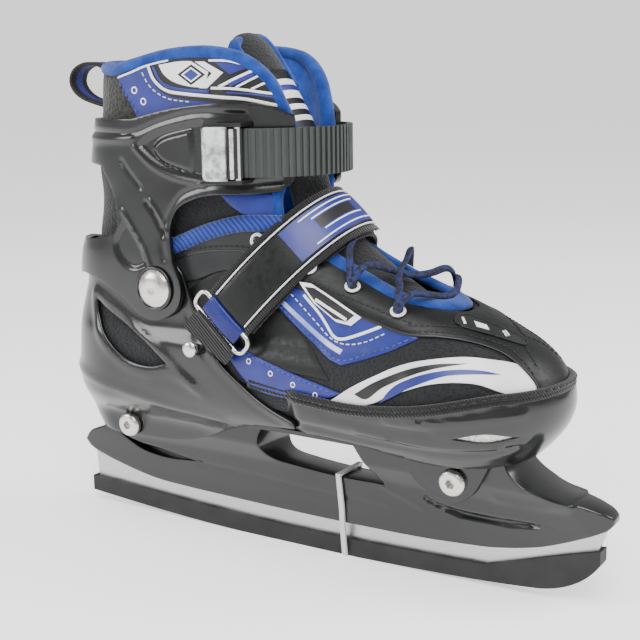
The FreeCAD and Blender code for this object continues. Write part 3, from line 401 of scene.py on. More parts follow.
def basin(loop, depth, edge):
    """Relief inside an unrolled outline, with sloping walls."""
    def relief(spots):
        t = np.clip(gap(loop, spots, True) / edge, 0, 1)
        return np.where(inside(loop, spots), depth * t * t * (3 - 2 * t), 0.0)
    return relief


def wrap_back(form, stretches, step=2.0):
    """Closed unrolled outline over both sides, from a side view that starts and ends behind the back."""
    side = trace(stretches, step) + [stretches[-1][-1]]
    near = [form.flat(float(x), float(z)) for x, z in side]
    near = [p for p in near if p[0] > 0.5]
    return [(0.0, side[0][1])] + near + [(0.0, side[-1][1])] + mirrored(near)


def wrap_front(form, path):
    """The same path on the far side, reached by going on round the toe."""
    return [(2 * form.length - run, z) for run, z in reversed(path)]


def outward(flat, faces):
    """The triangles of a flat layout, all turned anticlockwise, which is outwards on a form."""
    turned = []
    for f in faces:
        (x1, y1), (x2, y2), (x3, y3) = [flat[i] for i in f]
        turned.append(f if (x2 - x1) * (y3 - y1) > (x3 - x1) * (y2 - y1) else tuple(reversed(f)))
    return turned


def rim_faces(faces, count):
    """Walls from the open edges of a layer of faces to its copy, count points later."""
    edges = {edge: None for f in faces for edge in zip(f, f[1:] + f[:1])}
    return [(b, a, a + count, b + count) for a, b in edges if (b, a) not in edges]


def form_mesh(form, outline, holes, step, reliefs=(), grow=0.0, lift=0.0):
    """Points and faces of an unrolled outline laid on a form, with its reliefs."""
    flat, faces = fill(outline, holes, step)
    spots = np.column_stack([np.abs(flat[:, 0]), flat[:, 1]])
    high = np.full(len(flat), float(lift))
    for relief in reliefs:
        high += relief(spots)
    verts = []
    for (run, z), h in zip(flat, high):
        g = grow(run, z) if callable(grow) else grow
        verts.append(form.place(run, z, g) + form.normal(run, z, g) * h)
    return verts, outward(flat, faces)


def form_sheet(name, form, outline, holes, step, thick, bevel, materials, reliefs=(), grow=0.0, inner=0):
    verts, faces = form_mesh(form, outline, holes, step, reliefs, grow)
    return finish_solid(mesh(name, verts, faces, *materials), thick, bevel, inner)


def both_sides(verts, faces):
    """A piece and its mirror image across the blade's plane."""
    other = [(x, -y, z) for x, y, z in verts]
    return join([(list(verts), faces), (other, [tuple(reversed(f)) for f in faces])])


def patch(name, form, loop, lift, thick, bevel, material, far=True, step=2.4, reliefs=()):
    """Thin piece sewn or printed on a form, with its twin on the far side."""
    verts, faces = form_mesh(form, loop, [], step, reliefs, lift=lift)
    if far:
        verts, faces = both_sides(verts, faces)
    return finish_solid(mesh(name, verts, faces, material), thick, bevel)


def ribbon(name, form, points, width, height, lift, material, far=True, closed=False):
    """Piping, tape or a printed line along a path on a form."""
    if closed:
        points = list(points) + [points[0]]
    path, normals = path_on(form, points, -1, lift)
    verts, faces = sweep(path, width, height, normals=normals)
    if far:
        verts, faces = both_sides(verts, faces)
    return mesh(name, verts, faces, material)


def stitches(name, form, points, lift, material, pitch=3.0, share=0.6, width=0.8, far=True):
    path, normals = path_on(form, points, -1, lift)
    verts, faces = join(dashes(path, normals, pitch, share, width, 0.6))
    if far:
        verts, faces = both_sides(verts, faces)
    return mesh(name, verts, faces, material)


def rings(name, form, places, radius, wire, lift, material, far=True):
    """Small rings laid flat on a form."""
    parts = []
    for x, z in places:
        spot, out = form.on(x, z, -1, lift)
        across = np.cross(out, [0, 0, 1.0])
        across /= np.linalg.norm(across)
        high = np.cross(across, out)
        circle = [spot + radius * (across * math.cos(t) + high * math.sin(t))
                  for t in np.linspace(0, 2 * math.pi, 20, endpoint=False)]
        parts.append(sweep(circle, wire, wire * 0.7, closed=True, normals=[out] * len(circle), sides=6))
    verts, faces = join(parts)
    if far:
        verts, faces = both_sides(verts, faces)
    return mesh(name, verts, faces, material)


def path_on(form, points, side=-1, lift=0.0, step=1.5):
    """Dense path on a form with its outward directions, from side-view places."""
    spots = [form.on(float(x), float(z), side, lift) for x, z in smooth(points, step)]
    return [p for p, _ in spots], [n for _, n in spots]


# ---------------------------------------------------------------- materials
class Paint:
    """Procedural material: colours broken up by noise, with bump from a chosen pattern."""

    def __init__(self, name, color, rough, metal=0.0):
        self.material = bpy.data.materials.new(name)
        self.material.use_nodes = True
        self.tree = self.material.node_tree
        self.shader = self.tree.nodes["Principled BSDF"]
        self.shader.inputs["Base Color"].default_value = (*color, 1)
        self.shader.inputs["Roughness"].default_value = rough
        self.shader.inputs["Metallic"].default_value = metal
        self.place = self.node("ShaderNodeTexCoord").outputs["Object"]
        self.height = None

    def node(self, kind, **settings):
        item = self.tree.nodes.new(kind)
        for key, value in settings.items():
            setattr(item, key, value)
        return item

    def link(self, source, target):
        self.tree.links.new(source, target)

    def set(self, **values):
        for key, value in values.items():
            self.shader.inputs[key.replace("_", " ")].default_value = value
        return self

    def scaled(self, scale):
        """The object's own place, scaled differently along each axis."""
        mapping = self.node("ShaderNodeMapping")
        self.link(self.place, mapping.inputs["Vector"])
        mapping.inputs["Scale"].default_value = scale
        return mapping.outputs["Vector"]

    def noise(self, scale, detail=3.0, place=None):
        item = self.node("ShaderNodeTexNoise")
        item.inputs["Scale"].default_value = scale
        item.inputs["Detail"].default_value = detail
        self.link(place or self.place, item.inputs["Vector"])
        return item.outputs["Fac"]

    def cells(self, scale, place=None):
        item = self.node("ShaderNodeTexVoronoi")
        item.inputs["Scale"].default_value = scale
        self.link(place or self.place, item.inputs["Vector"])
        return item.outputs["Distance"]

    def bands(self, scale, direction, distortion=0.0):
        item = self.node("ShaderNodeTexWave", bands_direction=direction)
        item.inputs["Scale"].default_value = scale
        item.inputs["Distortion"].default_value = distortion
        self.link(self.place, item.inputs["Vector"])
        return item.outputs["Fac"]

    def math(self, operation, a, b):
        item = self.node("ShaderNodeMath", operation=operation)
        for socket, value in zip(item.inputs, (a, b)):
            if isinstance(value, (int, float)):
                socket.default_value = value
            else:
                self.link(value, socket)
        return item.outputs[0]

    def ramp(self, source, stops, target="Base Color"):
        """Colour or grey ramp from a pattern into one of the shader's sockets."""
        item = self.node("ShaderNodeValToRGB")
        while len(item.color_ramp.elements) < len(stops):
            item.color_ramp.elements.new(0.5)
        for element, (at, color) in zip(item.color_ramp.elements, stops):
            element.position = at
            element.color = (*color, 1) if isinstance(color, tuple) else (color, color, color, 1)
        self.link(source, item.inputs["Fac"])
        self.link(item.outputs["Color"], self.shader.inputs[target])
        return self

    def bump(self, source, distance, strength=0.6):
        item = self.node("ShaderNodeBump")
        item.inputs["Strength"].default_value = strength
        item.inputs["Distance"].default_value = distance * MM
        self.link(source, item.inputs["Height"])
        if self.height:
            self.link(self.height, item.inputs["Normal"])
        self.height = item.outputs["Normal"]
        self.link(self.height, self.shader.inputs["Normal"])
        return self


def plastic(name, low, high, rough, coat=0.0):
    """Moulded plastic: faint flow marks, tiny pits and scuffs in the gloss."""
    paint = Paint(name, high, rough)
    paint.set(Coat_Weight=coat, Coat_Roughness=0.1, Specular_IOR_Level=0.5)
    paint.ramp(paint.noise(35, 4), [(0.3, low), (0.7, high)])
    paint.ramp(paint.noise(90, 6), [(0.25, rough * 0.85), (0.75, rough * 1.2)], "Roughness")
    return paint.bump(paint.noise(1400, 2), 0.012, 0.25).material


def mesh_cloth(name, dark, light, scale, thread=0.5):
    """Knitted air mesh: rows of small holes with lighter threads round them."""
    paint = Paint(name, dark, 0.85)
    place = paint.scaled((1.0, 1.0, 1.35))
    holes = paint.cells(scale, place)
    paint.ramp(holes, [(0.12, dark), (thread, light)])
    paint.set(Sheen_Weight=0.15, Sheen_Roughness=0.5, Specular_IOR_Level=0.3)
    return paint.bump(holes, 0.45, 0.9).bump(paint.noise(60, 3), 0.5, 0.25).material


def leather(name, low, high, rough=0.42):
    """Coated synthetic leather: fine pebble grain and a soft sheen."""
    paint = Paint(name, high, rough)
    paint.ramp(paint.noise(55, 4), [(0.3, low), (0.7, high)])
    paint.ramp(paint.noise(420, 3), [(0.3, rough * 0.8), (0.7, rough * 1.3)], "Roughness")
    paint.set(Specular_IOR_Level=0.28, Coat_Weight=0.05, Coat_Roughness=0.3)
    return paint.bump(paint.cells(950), 0.08, 0.45).bump(paint.noise(45, 3), 0.5, 0.3).material


def fleece(name, low, high):
    """Brushed pile lining with soft mottling."""
    paint = Paint(name, high, 0.95)
    paint.ramp(paint.noise(160, 6), [(0.32, low), (0.68, high)])
    paint.set(Sheen_Weight=0.2, Sheen_Roughness=0.5, Specular_IOR_Level=0.15)
    return paint.bump(paint.noise(1100, 6), 0.5, 0.8).bump(paint.noise(120, 3), 0.9, 0.35).material


def ribbed(name, low, high, scale, direction="X"):
    """Woven tape or padded piping with slanted ribs."""
    paint = Paint(name, high, 0.8)
    ribs = paint.bands(scale, direction, 1.5)
    paint.ramp(ribs, [(0.15, low), (0.75, high)])
    paint.set(Sheen_Weight=0.25, Specular_IOR_Level=0.25)
    return paint.bump(ribs, 0.35, 0.8).bump(paint.noise(900, 3), 0.12, 0.5).material


def metal(name, color, rough, brushed=None):
    paint = Paint(name, color, rough, 1.0)
    place = paint.scaled(brushed) if brushed else None
    streaks = paint.noise(500 if not brushed else 60, 4, place)
    paint.ramp(streaks, [(0.3, rough * 0.75), (0.7, rough * 1.35)], "Roughness")
    return paint.bump(streaks, 0.02, 0.25).material


def printed(name, low, high, rough=0.34):
    """Glossy printed film."""
    paint = Paint(name, high, rough)
    paint.ramp(paint.noise(70, 4), [(0.3, low), (0.7, high)])
    paint.set(Coat_Weight=0.15, Coat_Roughness=0.2, Specular_IOR_Level=0.4)
    return paint.bump(paint.noise(600, 3), 0.04, 0.4).bump(paint.noise(50, 2), 0.4, 0.25).material


BLACK = plastic("moulded_black", (0.005, 0.0052, 0.0055), (0.0095, 0.01, 0.0102), 0.22, 0.15)
BLACK_SATIN = plastic("satin_black", (0.003, 0.003, 0.003), (0.006, 0.006, 0.006), 0.36)
RUBBER = plastic("guard_rubber", (0.004, 0.004, 0.004), (0.008, 0.008, 0.008), 0.6)
STRAP_GREY = plastic("strap_grey", (0.022, 0.027, 0.025), (0.036, 0.042, 0.039), 0.45)
NYLON = plastic("tie_nylon", (0.5, 0.5, 0.5), (0.62, 0.62, 0.62), 0.35)
BLACK_MESH = mesh_cloth("black_mesh", (0.0008, 0.0008, 0.0012), (0.009, 0.0095, 0.011), 620)
LATTICE = mesh_cloth("heel_lattice", (0.0004, 0.0004, 0.0004), (0.022, 0.022, 0.018), 430, 0.6)
SILVER_MESH = mesh_cloth("silver_mesh", (0.03, 0.03, 0.03), (0.8, 0.8, 0.78), 900, 0.4)
BLACK_LEATHER = leather("black_leather", (0.0025, 0.0028, 0.003), (0.0055, 0.006, 0.006))
GREY_LEATHER = leather("grey_leather", (0.009, 0.01, 0.011), (0.018, 0.02, 0.02), 0.38)
BLUE_LEATHER = leather("blue_leather", (0.01, 0.016, 0.13), (0.02, 0.032, 0.22), 0.4)
DARK_BLUE = leather("dark_blue_leather", (0.006, 0.008, 0.09), (0.014, 0.018, 0.17), 0.3)
BLUE_PRINT = printed("blue_print", (0.009, 0.014, 0.13), (0.016, 0.024, 0.21), 0.42)
WHITE_PRINT = printed("white_print", (0.7, 0.7, 0.72), (0.84, 0.84, 0.87), 0.4)
SILVER_PRINT = printed("silver_blue_print", (0.06, 0.1, 0.42), (0.62, 0.66, 0.8), 0.3)
BLACK_PRINT = printed("black_print", (0.002, 0.002, 0.003), (0.006, 0.006, 0.007), 0.4)
BLUE_FLEECE = fleece("blue_fleece", (0.006, 0.027, 0.16), (0.013, 0.055, 0.28))
# Lighter copy of the blue fleece: painted light for the collar's inner lining, which sits in shade inside
# the cuff.
PAINTED_LIGHT_FLEECE = fleece("painted_light_fleece", (0.01, 0.05, 0.3), (0.025, 0.1, 0.5))
DARK_LINING = fleece("dark_lining", (0.002, 0.0025, 0.004), (0.006, 0.007, 0.01))
BLUE_RIB = ribbed("blue_rib", (0.004, 0.014, 0.11), (0.014, 0.042, 0.3), 190, "DIAGONAL")
BLACK_WEB = ribbed("black_webbing", (0.0015, 0.0015, 0.0015), (0.008, 0.008, 0.009), 330, "DIAGONAL")
WHITE_THREAD = printed("white_thread", (0.5, 0.5, 0.55), (0.72, 0.72, 0.76), 0.6)
BLUE_THREAD = printed("blue_thread", (0.02, 0.03, 0.2), (0.05, 0.07, 0.35), 0.6)
BLACK_THREAD = printed("black_thread", (0.002, 0.002, 0.002), (0.005, 0.005, 0.005), 0.6)
EYELET_WHITE = printed("eyelet_white", (0.62, 0.62, 0.62), (0.8, 0.8, 0.8), 0.25)
STEEL = metal("blade_steel", (0.5, 0.5, 0.5), 0.34, (1.5, 30, 30))
CHROME = metal("bright_metal", (0.75, 0.74, 0.7), 0.2)
NICKEL = metal("nickel", (0.62, 0.61, 0.57), 0.26)
PIN_STEEL = metal("pin_steel", (0.5, 0.5, 0.5), 0.3)


def clear_plastic():
    """Clear moulded lever with a frosted insert; its grey-to-white colour mottle is partly painted
    highlights.
    """
    paint = Paint("clear_lever", (0.6, 0.62, 0.64), 0.12)
    # Grey to white mottle in the base colour: partly the frosted insert, partly painted highlights and
    # reflections.
    paint.ramp(paint.noise(260, 5), [(0.38, (0.3, 0.31, 0.32)), (0.56, (0.78, 0.79, 0.8))])
    paint.set(Transmission_Weight=0.25, IOR=1.46, Coat_Weight=0.6, Coat_Roughness=0.05)
    paint.ramp(paint.noise(180, 5), [(0.35, 0.06), (0.7, 0.4)], "Roughness")
    return paint.bump(paint.noise(240, 3), 0.35, 0.5).material


CLEAR = clear_plastic()


def flecked():
    """Braided lace: black cord with blue flecks."""
    paint = Paint("flecked_lace", (0.008, 0.015, 0.07), 0.75)
    paint.ramp(paint.cells(520), [(0.42, (0.0015, 0.0015, 0.003)), (0.62, (0.006, 0.012, 0.09))])
    return paint.bump(paint.bands(420, "DIAGONAL", 2.0), 0.3, 0.8).material


LACE = flecked()


def striped():
    """Webbing with a blue stripe along its middle."""
    paint = Paint("striped_webbing", (0.01, 0.01, 0.012), 0.8)
    split = paint.node("ShaderNodeSeparateXYZ")
    paint.link(paint.place, split.inputs[0])
    off_middle = paint.math("MULTIPLY", paint.math("ABSOLUTE", split.outputs["Y"], 0), 150)
    blue, dark = (0.018, 0.022, 0.17), (0.003, 0.003, 0.004)
    paint.ramp(off_middle, [(0.0, blue), (0.3, blue), (0.36, dark)])
    return paint.bump(paint.bands(330, "DIAGONAL", 1.0), 0.3, 0.7).material


STRIPED_WEB = striped()

NODE_PAINT = {
    "blade": STEEL, "blade_guard": RUBBER, "guard_tie": NYLON, "toe_vents": SILVER_MESH,
    "pivot_rivets": NICKEL, "frame_bolts": NICKEL, "frame_nuts": NICKEL, "size_button": NICKEL,
    "button_spring": PIN_STEEL, "buckle_base": BLACK_SATIN, "lever_pin": CHROME, "pawl_pin": PIN_STEEL,
    "buckle_rivet": PIN_STEEL, "buckle_lever": CLEAR, "buckle_pawl": PIN_STEEL, "strap_screw": NICKEL,
    "ladder_strap": STRAP_GREY, "ring_tab": BLACK_WEB,
}
for node_name, material in NODE_PAINT.items():
    NODES[node_name].data.materials.clear()
    NODES[node_name].data.materials.append(material)


def dress(obj, slot, nodes):
    """Hides the CAD nodes that the piece stands for. The finish slot is not used."""
    if nodes:
        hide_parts(*nodes)
    return obj


def wear(obj, body, slot, *nodes):
    """Rides on a body and hides the CAD nodes it stands for. The finish slot is not used."""
    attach(obj, body)
    return dress(obj, slot, nodes)


def stretch(obj, slot, *nodes):
    """Fabric of the foot part, which on the real skate slides open between the heel and the toe; here it is
    only baked in place with its CAD nodes hidden. The finish slot is not used.
    """
    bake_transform(obj)
    return dress(obj, slot, nodes)


def lean(obj, slot, *nodes):
    """Fabric of the ankle, which on the real skate bends between the foot and the cuff; here it is only
    baked in place with its CAD nodes hidden. The finish slot is not used.
    """
    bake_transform(obj)
    return dress(obj, slot, nodes)


# ---------------------------------------------------------------- blade holder
def holder_half(x, z):
    """Half width of the holder: a thin rail that spreads into the pedestals."""
    half = np.interp(z, [10, 24, 33, 42, 46, 52, 70], [5.5, 6.1, 7.3, 9.0, 11.4, 15.2, 15.6])
    if x < -106 and z > 40:
        half = min(half, 9.0 + 6.0 * max(0.0, (x + 110) / 4))
    if x > 132:
        half = min(half, 3.2 + 0.9 * math.sqrt(max(0.0, 148.4 - x)) * 1.6)
    return half


def inflated(name, stretches, holes, half, step, bevel, *materials, reliefs=()):
    """Closed solid from a side-view outline, as wide each way as half(x, z) says."""
    outline = trace(stretches, step)
    flat, faces = fill(outline, [trace(h, step) for h in holes], step)
    extra = sum((relief(flat) for relief in reliefs), np.zeros(len(flat)))
    halves = np.array([half(x, z) for x, z in flat]) + extra
    near = [(x, -h, z) for (x, z), h in zip(flat, halves)]
    far = [(x, h, z) for (x, z), h in zip(flat, halves)]
    count = len(flat)
    near_faces = outward(flat, faces)
    rims = rim_faces(near_faces, count)
    far_faces = [tuple(i + count for i in reversed(f)) for f in near_faces]
    obj = mesh(name, near + far, near_faces + far_faces + rims, *materials)
    return finish_solid(obj, 0, bevel)


def build_holder():
    side = [
        [(-143.8, 35.1), (-138.5, 30), (-120.4, 24.3), (-97, 19.8), (-71.9, 18.4)],
        [(-71.9, 18.4), (-19.3, 17.3), (16.7, 17.0), (55, 17.3), (77.8, 18.4)],
        [(77.8, 18.4), (94.7, 19.8), (113.9, 23.7), (127.8, 28.8), (145.5, 36.9)],
        [(145.5, 36.9), (148.0, 39.5), (148.0, 42.4), (144.5, 44.7)],
        [(144.5, 44.7), (135.6, 47.1), (121.8, 49.4), (112.5, 53.0), (105.8, 58), (102, 65)],
        [(102, 65), (96, 62)],
        [(96, 62), (26, 62)],
        [(26, 62), (32, 53.5), (41.2, 41.0)],
        [(41.2, 41.0), (18.2, 40.8), (-5.2, 42.3), (-19, 44.2), (-25, 49), (-25.6, 55), (-22, 62)],
        [(-22, 62), (-118, 62)],
        [(-118, 62), (-120, 54), (-124, 47.6), (-132, 43.6), (-139, 40.8), (-143.8, 35.1)],
    ]
    slit = [
        [(-117, 42), (-104, 38.8), (-90, 37.4), (-70.6, 34.2)],
        [(-70.6, 34.2), (-88, 33.2), (-104, 35.4), (-117, 42)],
    ]
    front_slit = trace([
        [(57.6, 41.5), (71, 36.6), (95, 35.4), (130, 36.7)],
        [(130, 36.7), (112, 32.4), (95, 31.2), (78, 31.4), (61.2, 36.7), (57.6, 41.5)],
    ])
    reliefs = [
        basin(front_slit, -2.4, 2.2),
        ridge(smooth([(-68, 33.4), (-40, 32.2), (0, 30.0), (40, 28.4)]), 1.2, -0.7),
        ridge(smooth([(20, 57), (36, 43), (50, 37), (60, 33)]), 1.8, 0.7),
        ridge(smooth([(126, 46), (112, 43), (98, 44)]), 2.5, 0.6),
    ]
    obj = inflated("holder_moulding", side, [slit], holder_half, 1.7, 0.7, BLACK, reliefs=reliefs)
    wear(obj, "frame", "black_shell", "blade_holder")


# ---------------------------------------------------------------- hard shells
def build_heel_shell():
    edge = [(-52.5, 137), (-45, 119.4), (-29.6, 98.6), (-14.6, 86.8), (-1.0, 77.8), (9.5, 72.4)]
    side = [
        [(-160, 138), (-137.6, 138)],
        [(-137.6, 138), (-104, 138)],
        [(-104, 138), (-92, 144.5), (-76, 148), (-62, 146), (-52.5, 137)],
        edge,
        [(9.5, 72.4), (9.5, 69.4)],
        [(9.5, 69.4), (-10.3, 67.5), (-27.2, 63.4), (-42.5, 57), (-58.2, 50.8), (-76, 47.6), (-95, 46.9)],
        [(-95, 46.9), (-112, 47.0), (-128, 47.6), (-160, 50)],
    ]
    outline = wrap_back(SHELL, side)
    vent_side = [
        [(-107, 119.5), (-99.4, 115.2), (-88.6, 109.6), (-75.3, 103), (-66.4, 97), (-61, 93)],
        [(-61, 93), (-74, 90.4), (-88.4, 93.4), (-99, 102), (-105, 111.5), (-107, 119.5)],
    ]
    vent = unroll(SHELL, vent_side, 1.5)
    rim = line_on(SHELL, [(-110, 122), (-107.5, 111), (-101.5, 99.5), (-89, 90.2), (-74, 86.8),
                          (-58, 88.8), (-40, 81.5)])
    reliefs = [
        ridge(rim, 2.4, 0.9),
        ridge(line_on(SHELL, [(-108, 123.5), (-98, 118.6), (-86, 112), (-64, 98.4), (-44, 84.6)]), 2.0, 0.7),
        ridge(line_on(SHELL, [(-150, 85), (-128, 81.5), (-100, 77), (-64, 70.5), (-34, 67)]), 2.6, 0.9),
        ridge(line_on(SHELL, [(x - 5.5, z - 1.5) for x, z in edge[1:]]), 1.1, -0.5),
        ridge(line_on(SHELL, [(-150, 62), (-120, 60), (-86, 59.5), (-54, 60.5)]), 5.0, -0.5),
    ]
    obj = form_sheet("heel_moulding", SHELL, outline, [vent, mirrored(vent)], 1.9, 2.5, 0.6, [BLACK],
                     reliefs)
    wear(obj, "frame", "black_shell", "heel_shell")
    backing_side = [
        [(-111, 123), (-84, 111), (-56, 92)],
        [(-56, 92), (-74, 86.6), (-92, 89), (-104, 100), (-111, 123)],
    ]
    for name, flip in (("outer", False), ("inner", True)):
        loop = unroll(SHELL, backing_side, 2.5)
        loop = mirrored(loop) if flip else loop
        backing = form_sheet("vent_mesh_%s" % name, SHELL, loop, [], 3.0, 0.5, 0, [BLACK_MESH], grow=-2.75)
        wear(backing, "frame", "liner_fabric")


def build_sole():
    plan = [
        [(-118, -17.5), (-60, -21.5), (96, -21.5)],
        [(96, -21.5), (104, -12), (106, 0), (104, 12), (96, 21.5)],
        [(96, 21.5), (-60, 21.5), (-118, 17.5)],
        [(-118, 17.5), (-128, 0), (-118, -17.5)],
    ]
    flat, faces = fill(trace(plan, 6), [], 9)
    verts = [(x, y, 65.0) for x, y in flat]
    faces = outward(flat, faces)
    plate = finish_solid(mesh("sole_plate", verts, faces, BLACK), 3.0, 0.6)
    wear(plate, "frame", "black_shell")
    tab = [
        [(98, 63), (56, 63)],
        [(56, 63), (57, 55), (64, 47), (73, 42.9), (80.3, 41.7), (87, 44.9), (92, 51), (98, 63)],
    ]
    groove = ridge(smooth([(60, 55), (66, 48.4), (74, 44.8), (80.6, 44.0), (85.8, 46.8), (90, 52)]),
                   0.7, -0.5)
    tabs = inflated("front_tabs", tab, [], lambda x, z: 18.5, 1.6, 0.6, BLACK, reliefs=[groove])
    wear(tabs, "frame", "black_shell")


RIM = [(-20, 89.6), (6.3, 86.8), (37.5, 84.8), (58, 86.0), (77, 89.0), (101, 94.0), (114, 95.6)]


def toe_grow(run, z):
    """The rear of the toe shell sits inside the heel shell; the rest is flush with it."""
    x = SHELL.place(run, z)[0]
    t = min(1.0, max(0.0, (x - 6.0) / 9.0))
    return -3.1 + 3.1 * t * t * (3 - 2 * t)


def build_toe_shell():
    middle = SHELL.length
    top = line_on(SHELL, RIM)
    top += [(0.5 * (top[-1][0] + middle), 96.2), (middle, 96.4)]
    bottom = line_on(SHELL, [(-20, 68.4), (11.4, 68.6), (41, 66.6), (61, 63.6), (80, 62.0), (98, 61.8)])
    bottom += [(0.5 * (bottom[-1][0] + middle), 62.6), (middle, 63.6)]
    far_top, far_bottom = wrap_front(SHELL, top), wrap_front(SHELL, bottom)
    outline = top + far_top[1:] + list(reversed(far_bottom)) + list(reversed(bottom))[1:]
    vent = unroll(SHELL, [
        [(89, 78.0), (102, 81.0), (114, 79.0)],
        [(114, 79.0), (103, 76.6), (89, 78.0)],
    ], 1.2)
    grooves = [
        ([(28, 80.4), (60, 79.2), (80, 79.6)], 1.2, -0.9),
        ([(8, 73.4), (40, 71.6), (72, 70.4), (100, 71.0), (112, 74.5)], 1.3, -1.1),
        ([(44, 75.6), (76, 73.6), (102, 74.2), (116, 76.4)], 1.1, 0.9),
        ([(60, 83.4), (84, 84.6), (104, 87.4), (116, 89.0)], 1.6, 0.9),
        ([(10, 84.6), (37.5, 82.2), (58, 83.2), (77, 86.2), (101, 91.2), (114, 93.0)], 0.8, -0.5),
    ]
    reliefs = []
    for points, width, height in grooves:
        path = line_on(SHELL, points)
        reliefs.append(ridge(path, width, height))
        reliefs.append(ridge(wrap_front(SHELL, path), width, height))
    obj = form_sheet("toe_moulding", SHELL, outline, [vent, wrap_front(SHELL, vent)], 1.9, 2.4, 0.6,
                     [BLACK], reliefs, toe_grow)
    wear(obj, "toe", "black_shell", "toe_shell")
    lens = unroll(SHELL, [[(87, 78.0), (102, 82.2), (116, 79.2)], [(116, 79.2), (103, 75.4),
                                                                   (87, 78.0)]], 1.5)
    mesh_lens = patch("toe_vent_mesh", SHELL, lens, -1.3, 0.6, 0, SILVER_MESH)
    wear(mesh_lens, "toe", "vent_mesh", "toe_vents")
    rear_run = SHELL.flat(-18, 66)[0]
    floor_outline = [tuple(SHELL.place(run, 66.0, -1.2)[:2])
                     for run in np.linspace(rear_run, 2 * SHELL.length - rear_run, 60)]
    flat, faces = fill(floor_outline, [], 8)
    faces = outward(flat, faces)
    plate = finish_solid(mesh("toe_floor", [(x, y, 67.4) for x, y in flat], faces, BLACK), 2.0, 0.3)
    wear(plate, "toe", "black_shell")
    edge = [p for p in top + far_top[1:] if SHELL.place(*p)[0] > -15]
    edge = smooth([edge[0]] + edge[3:-3:4] + [edge[-1]], 1.6)
    rope = [SHELL.place(run, z + 1.4, toe_grow(run, z) - 0.6) for run, z in edge]
    normals = [SHELL.normal(run, z) for run, z in edge]
    lower_rope = [p + np.array([0, 0, -2.2]) + n * 0.7 for p, n in zip(rope, normals)]
    piping = mesh("rim_piping", *join([sweep(rope, 3.4, 3.2), sweep(lower_rope, 2.2, 2.2)]), BLACK_WEB)
    wear(piping, "toe", "liner_fabric")
    above = [p + n * 1.7 for p, n in zip(rope, normals)]
    thread = mesh("rim_stitches", *join(dashes(above, normals, 4.2, 0.62, 0.8, 0.6)), BLACK_THREAD)
    wear(thread, "toe", "liner_fabric")


def build_cuff():
    top = [(-77.5, 207.4), (-53, 212.4), (-24, 215), (-8, 214), (2.5, 209.5)]
    lower = [(-2, 176), (-15, 174.6), (-31, 174), (-42, 171.8), (-52, 166.5), (-56.4, 156), (-55, 142)]
    arm = [(-55, 142), (-50.4, 130), (-53.4, 119.7), (-65.1, 113.5), (-75, 115.4), (-86, 123.2)]
    rear = [(-86, 123.2), (-98, 129.2), (-114, 132), (-128, 130), (-160, 128.5)]
    outline = wrap_back(CUFF, [
        [(-160, 206.5), (-127, 206.8)],
        [(-127, 206.8), (-95, 207.2), (-77.5, 207.4)],
        top,
        [(2.5, 209.5), (2.5, 188)],
        [(2.5, 188), (1.6, 180), (-2, 176)],
        lower,
        arm,
        rear,
    ])
    window = wrap_back(CUFF, [
        [(-160, 186), (-104, 185.5), (-97, 182), (-91, 174), (-88.4, 166), (-87.6, 157.5),
         (-90, 153.6), (-98, 152)],
        [(-98, 152), (-112, 149), (-160, 146)],
    ])
    leaf = unroll(CUFF, [
        [(-74.6, 195), (-69.8, 199.3), (-59, 203.6), (-36, 208)],
        [(-36, 208), (-36, 180.4)],
        [(-36, 180.4), (-54.2, 183.4), (-65.4, 188), (-74.6, 195)],
    ], 1.2)
    tongue = unroll(CUFF, [
        [(-66.4, 195), (-59.4, 199.8), (-43.4, 203.6)],
        [(-43.4, 203.6), (-42.6, 193), (-43.4, 182.6)],
        [(-43.4, 182.6), (-59.5, 187), (-65.6, 192.4), (-66.4, 195)],
    ], 1.2)
    recess = unroll(CUFF, [
        [(-82.2, 161.5), (-88.2, 154), (-90.2, 147.5), (-86.6, 140.5), (-78.4, 136.5), (-69, 139.6)],
        [(-69, 139.6), (-72.5, 149), (-78.4, 156.5), (-82.2, 161.5)],
    ], 1.2)
    reliefs = [
        ridge(line_on(CUFF, [(-140, 200.6), (-95, 201.0), (-77.5, 201.0), (-60, 206.5), (-40, 210.4),
                             (-16, 210)]), 1.0, -0.7),
        ridge(line_on(CUFF, [(-140, 197.6), (-95, 198), (-77.5, 198.6)]), 1.8, 0.7),
        ridge(line_on(CUFF, [(x, z + 4.4) for x, z in lower[:-2]] + [(-61, 155), (-59.6, 143)]), 1.0, -0.5),
        ridge(line_on(CUFF, [(-76.4, 195), (-66.4, 186.6), (-54.4, 181.6), (-37, 178.4)]), 0.9, 0.6),
        ridge(line_on(CUFF, [(-69.8, 169), (-64, 162), (-59.8, 154)]), 0.9, -0.8),
        ridge(line_on(CUFF, [(-67.6, 170), (-62, 163), (-58, 155)]), 0.9, 0.5),
        ridge(line_on(CUFF, [(-84.5, 165), (-79, 157.6), (-73.5, 149.4), (-68, 139)]), 0.9, 0.5),
        ridge(line_on(CUFF, [(-84, 188), (-79, 182), (-73, 176)]), 1.0, -0.5),
        basin(leaf, -1.8, 2.0),
        basin(tongue, 1.5, 2.0),
        basin(recess, -1.2, 1.8),
    ]
    obj = form_sheet("cuff_moulding", CUFF, outline, [window], 1.1, 2.5, 0.6, [BLACK], reliefs)
    wear(obj, "cuff", "black_shell", "cuff_shell")
    bead = []
    for side in (-1, 1):
        ring = [(-65.6 + 9.9 * math.cos(t), side * 39.7, 128.9 + 9.9 * math.sin(t))
                for t in np.linspace(0, 2 * math.pi, 40, endpoint=False)]
        bead.append(sweep(ring, 1.6, 1.4, closed=True, normals=[(0, side, 0)] * 40))
    wear(mesh("pivot_beads", *join(bead), BLACK), "cuff", "black_shell")


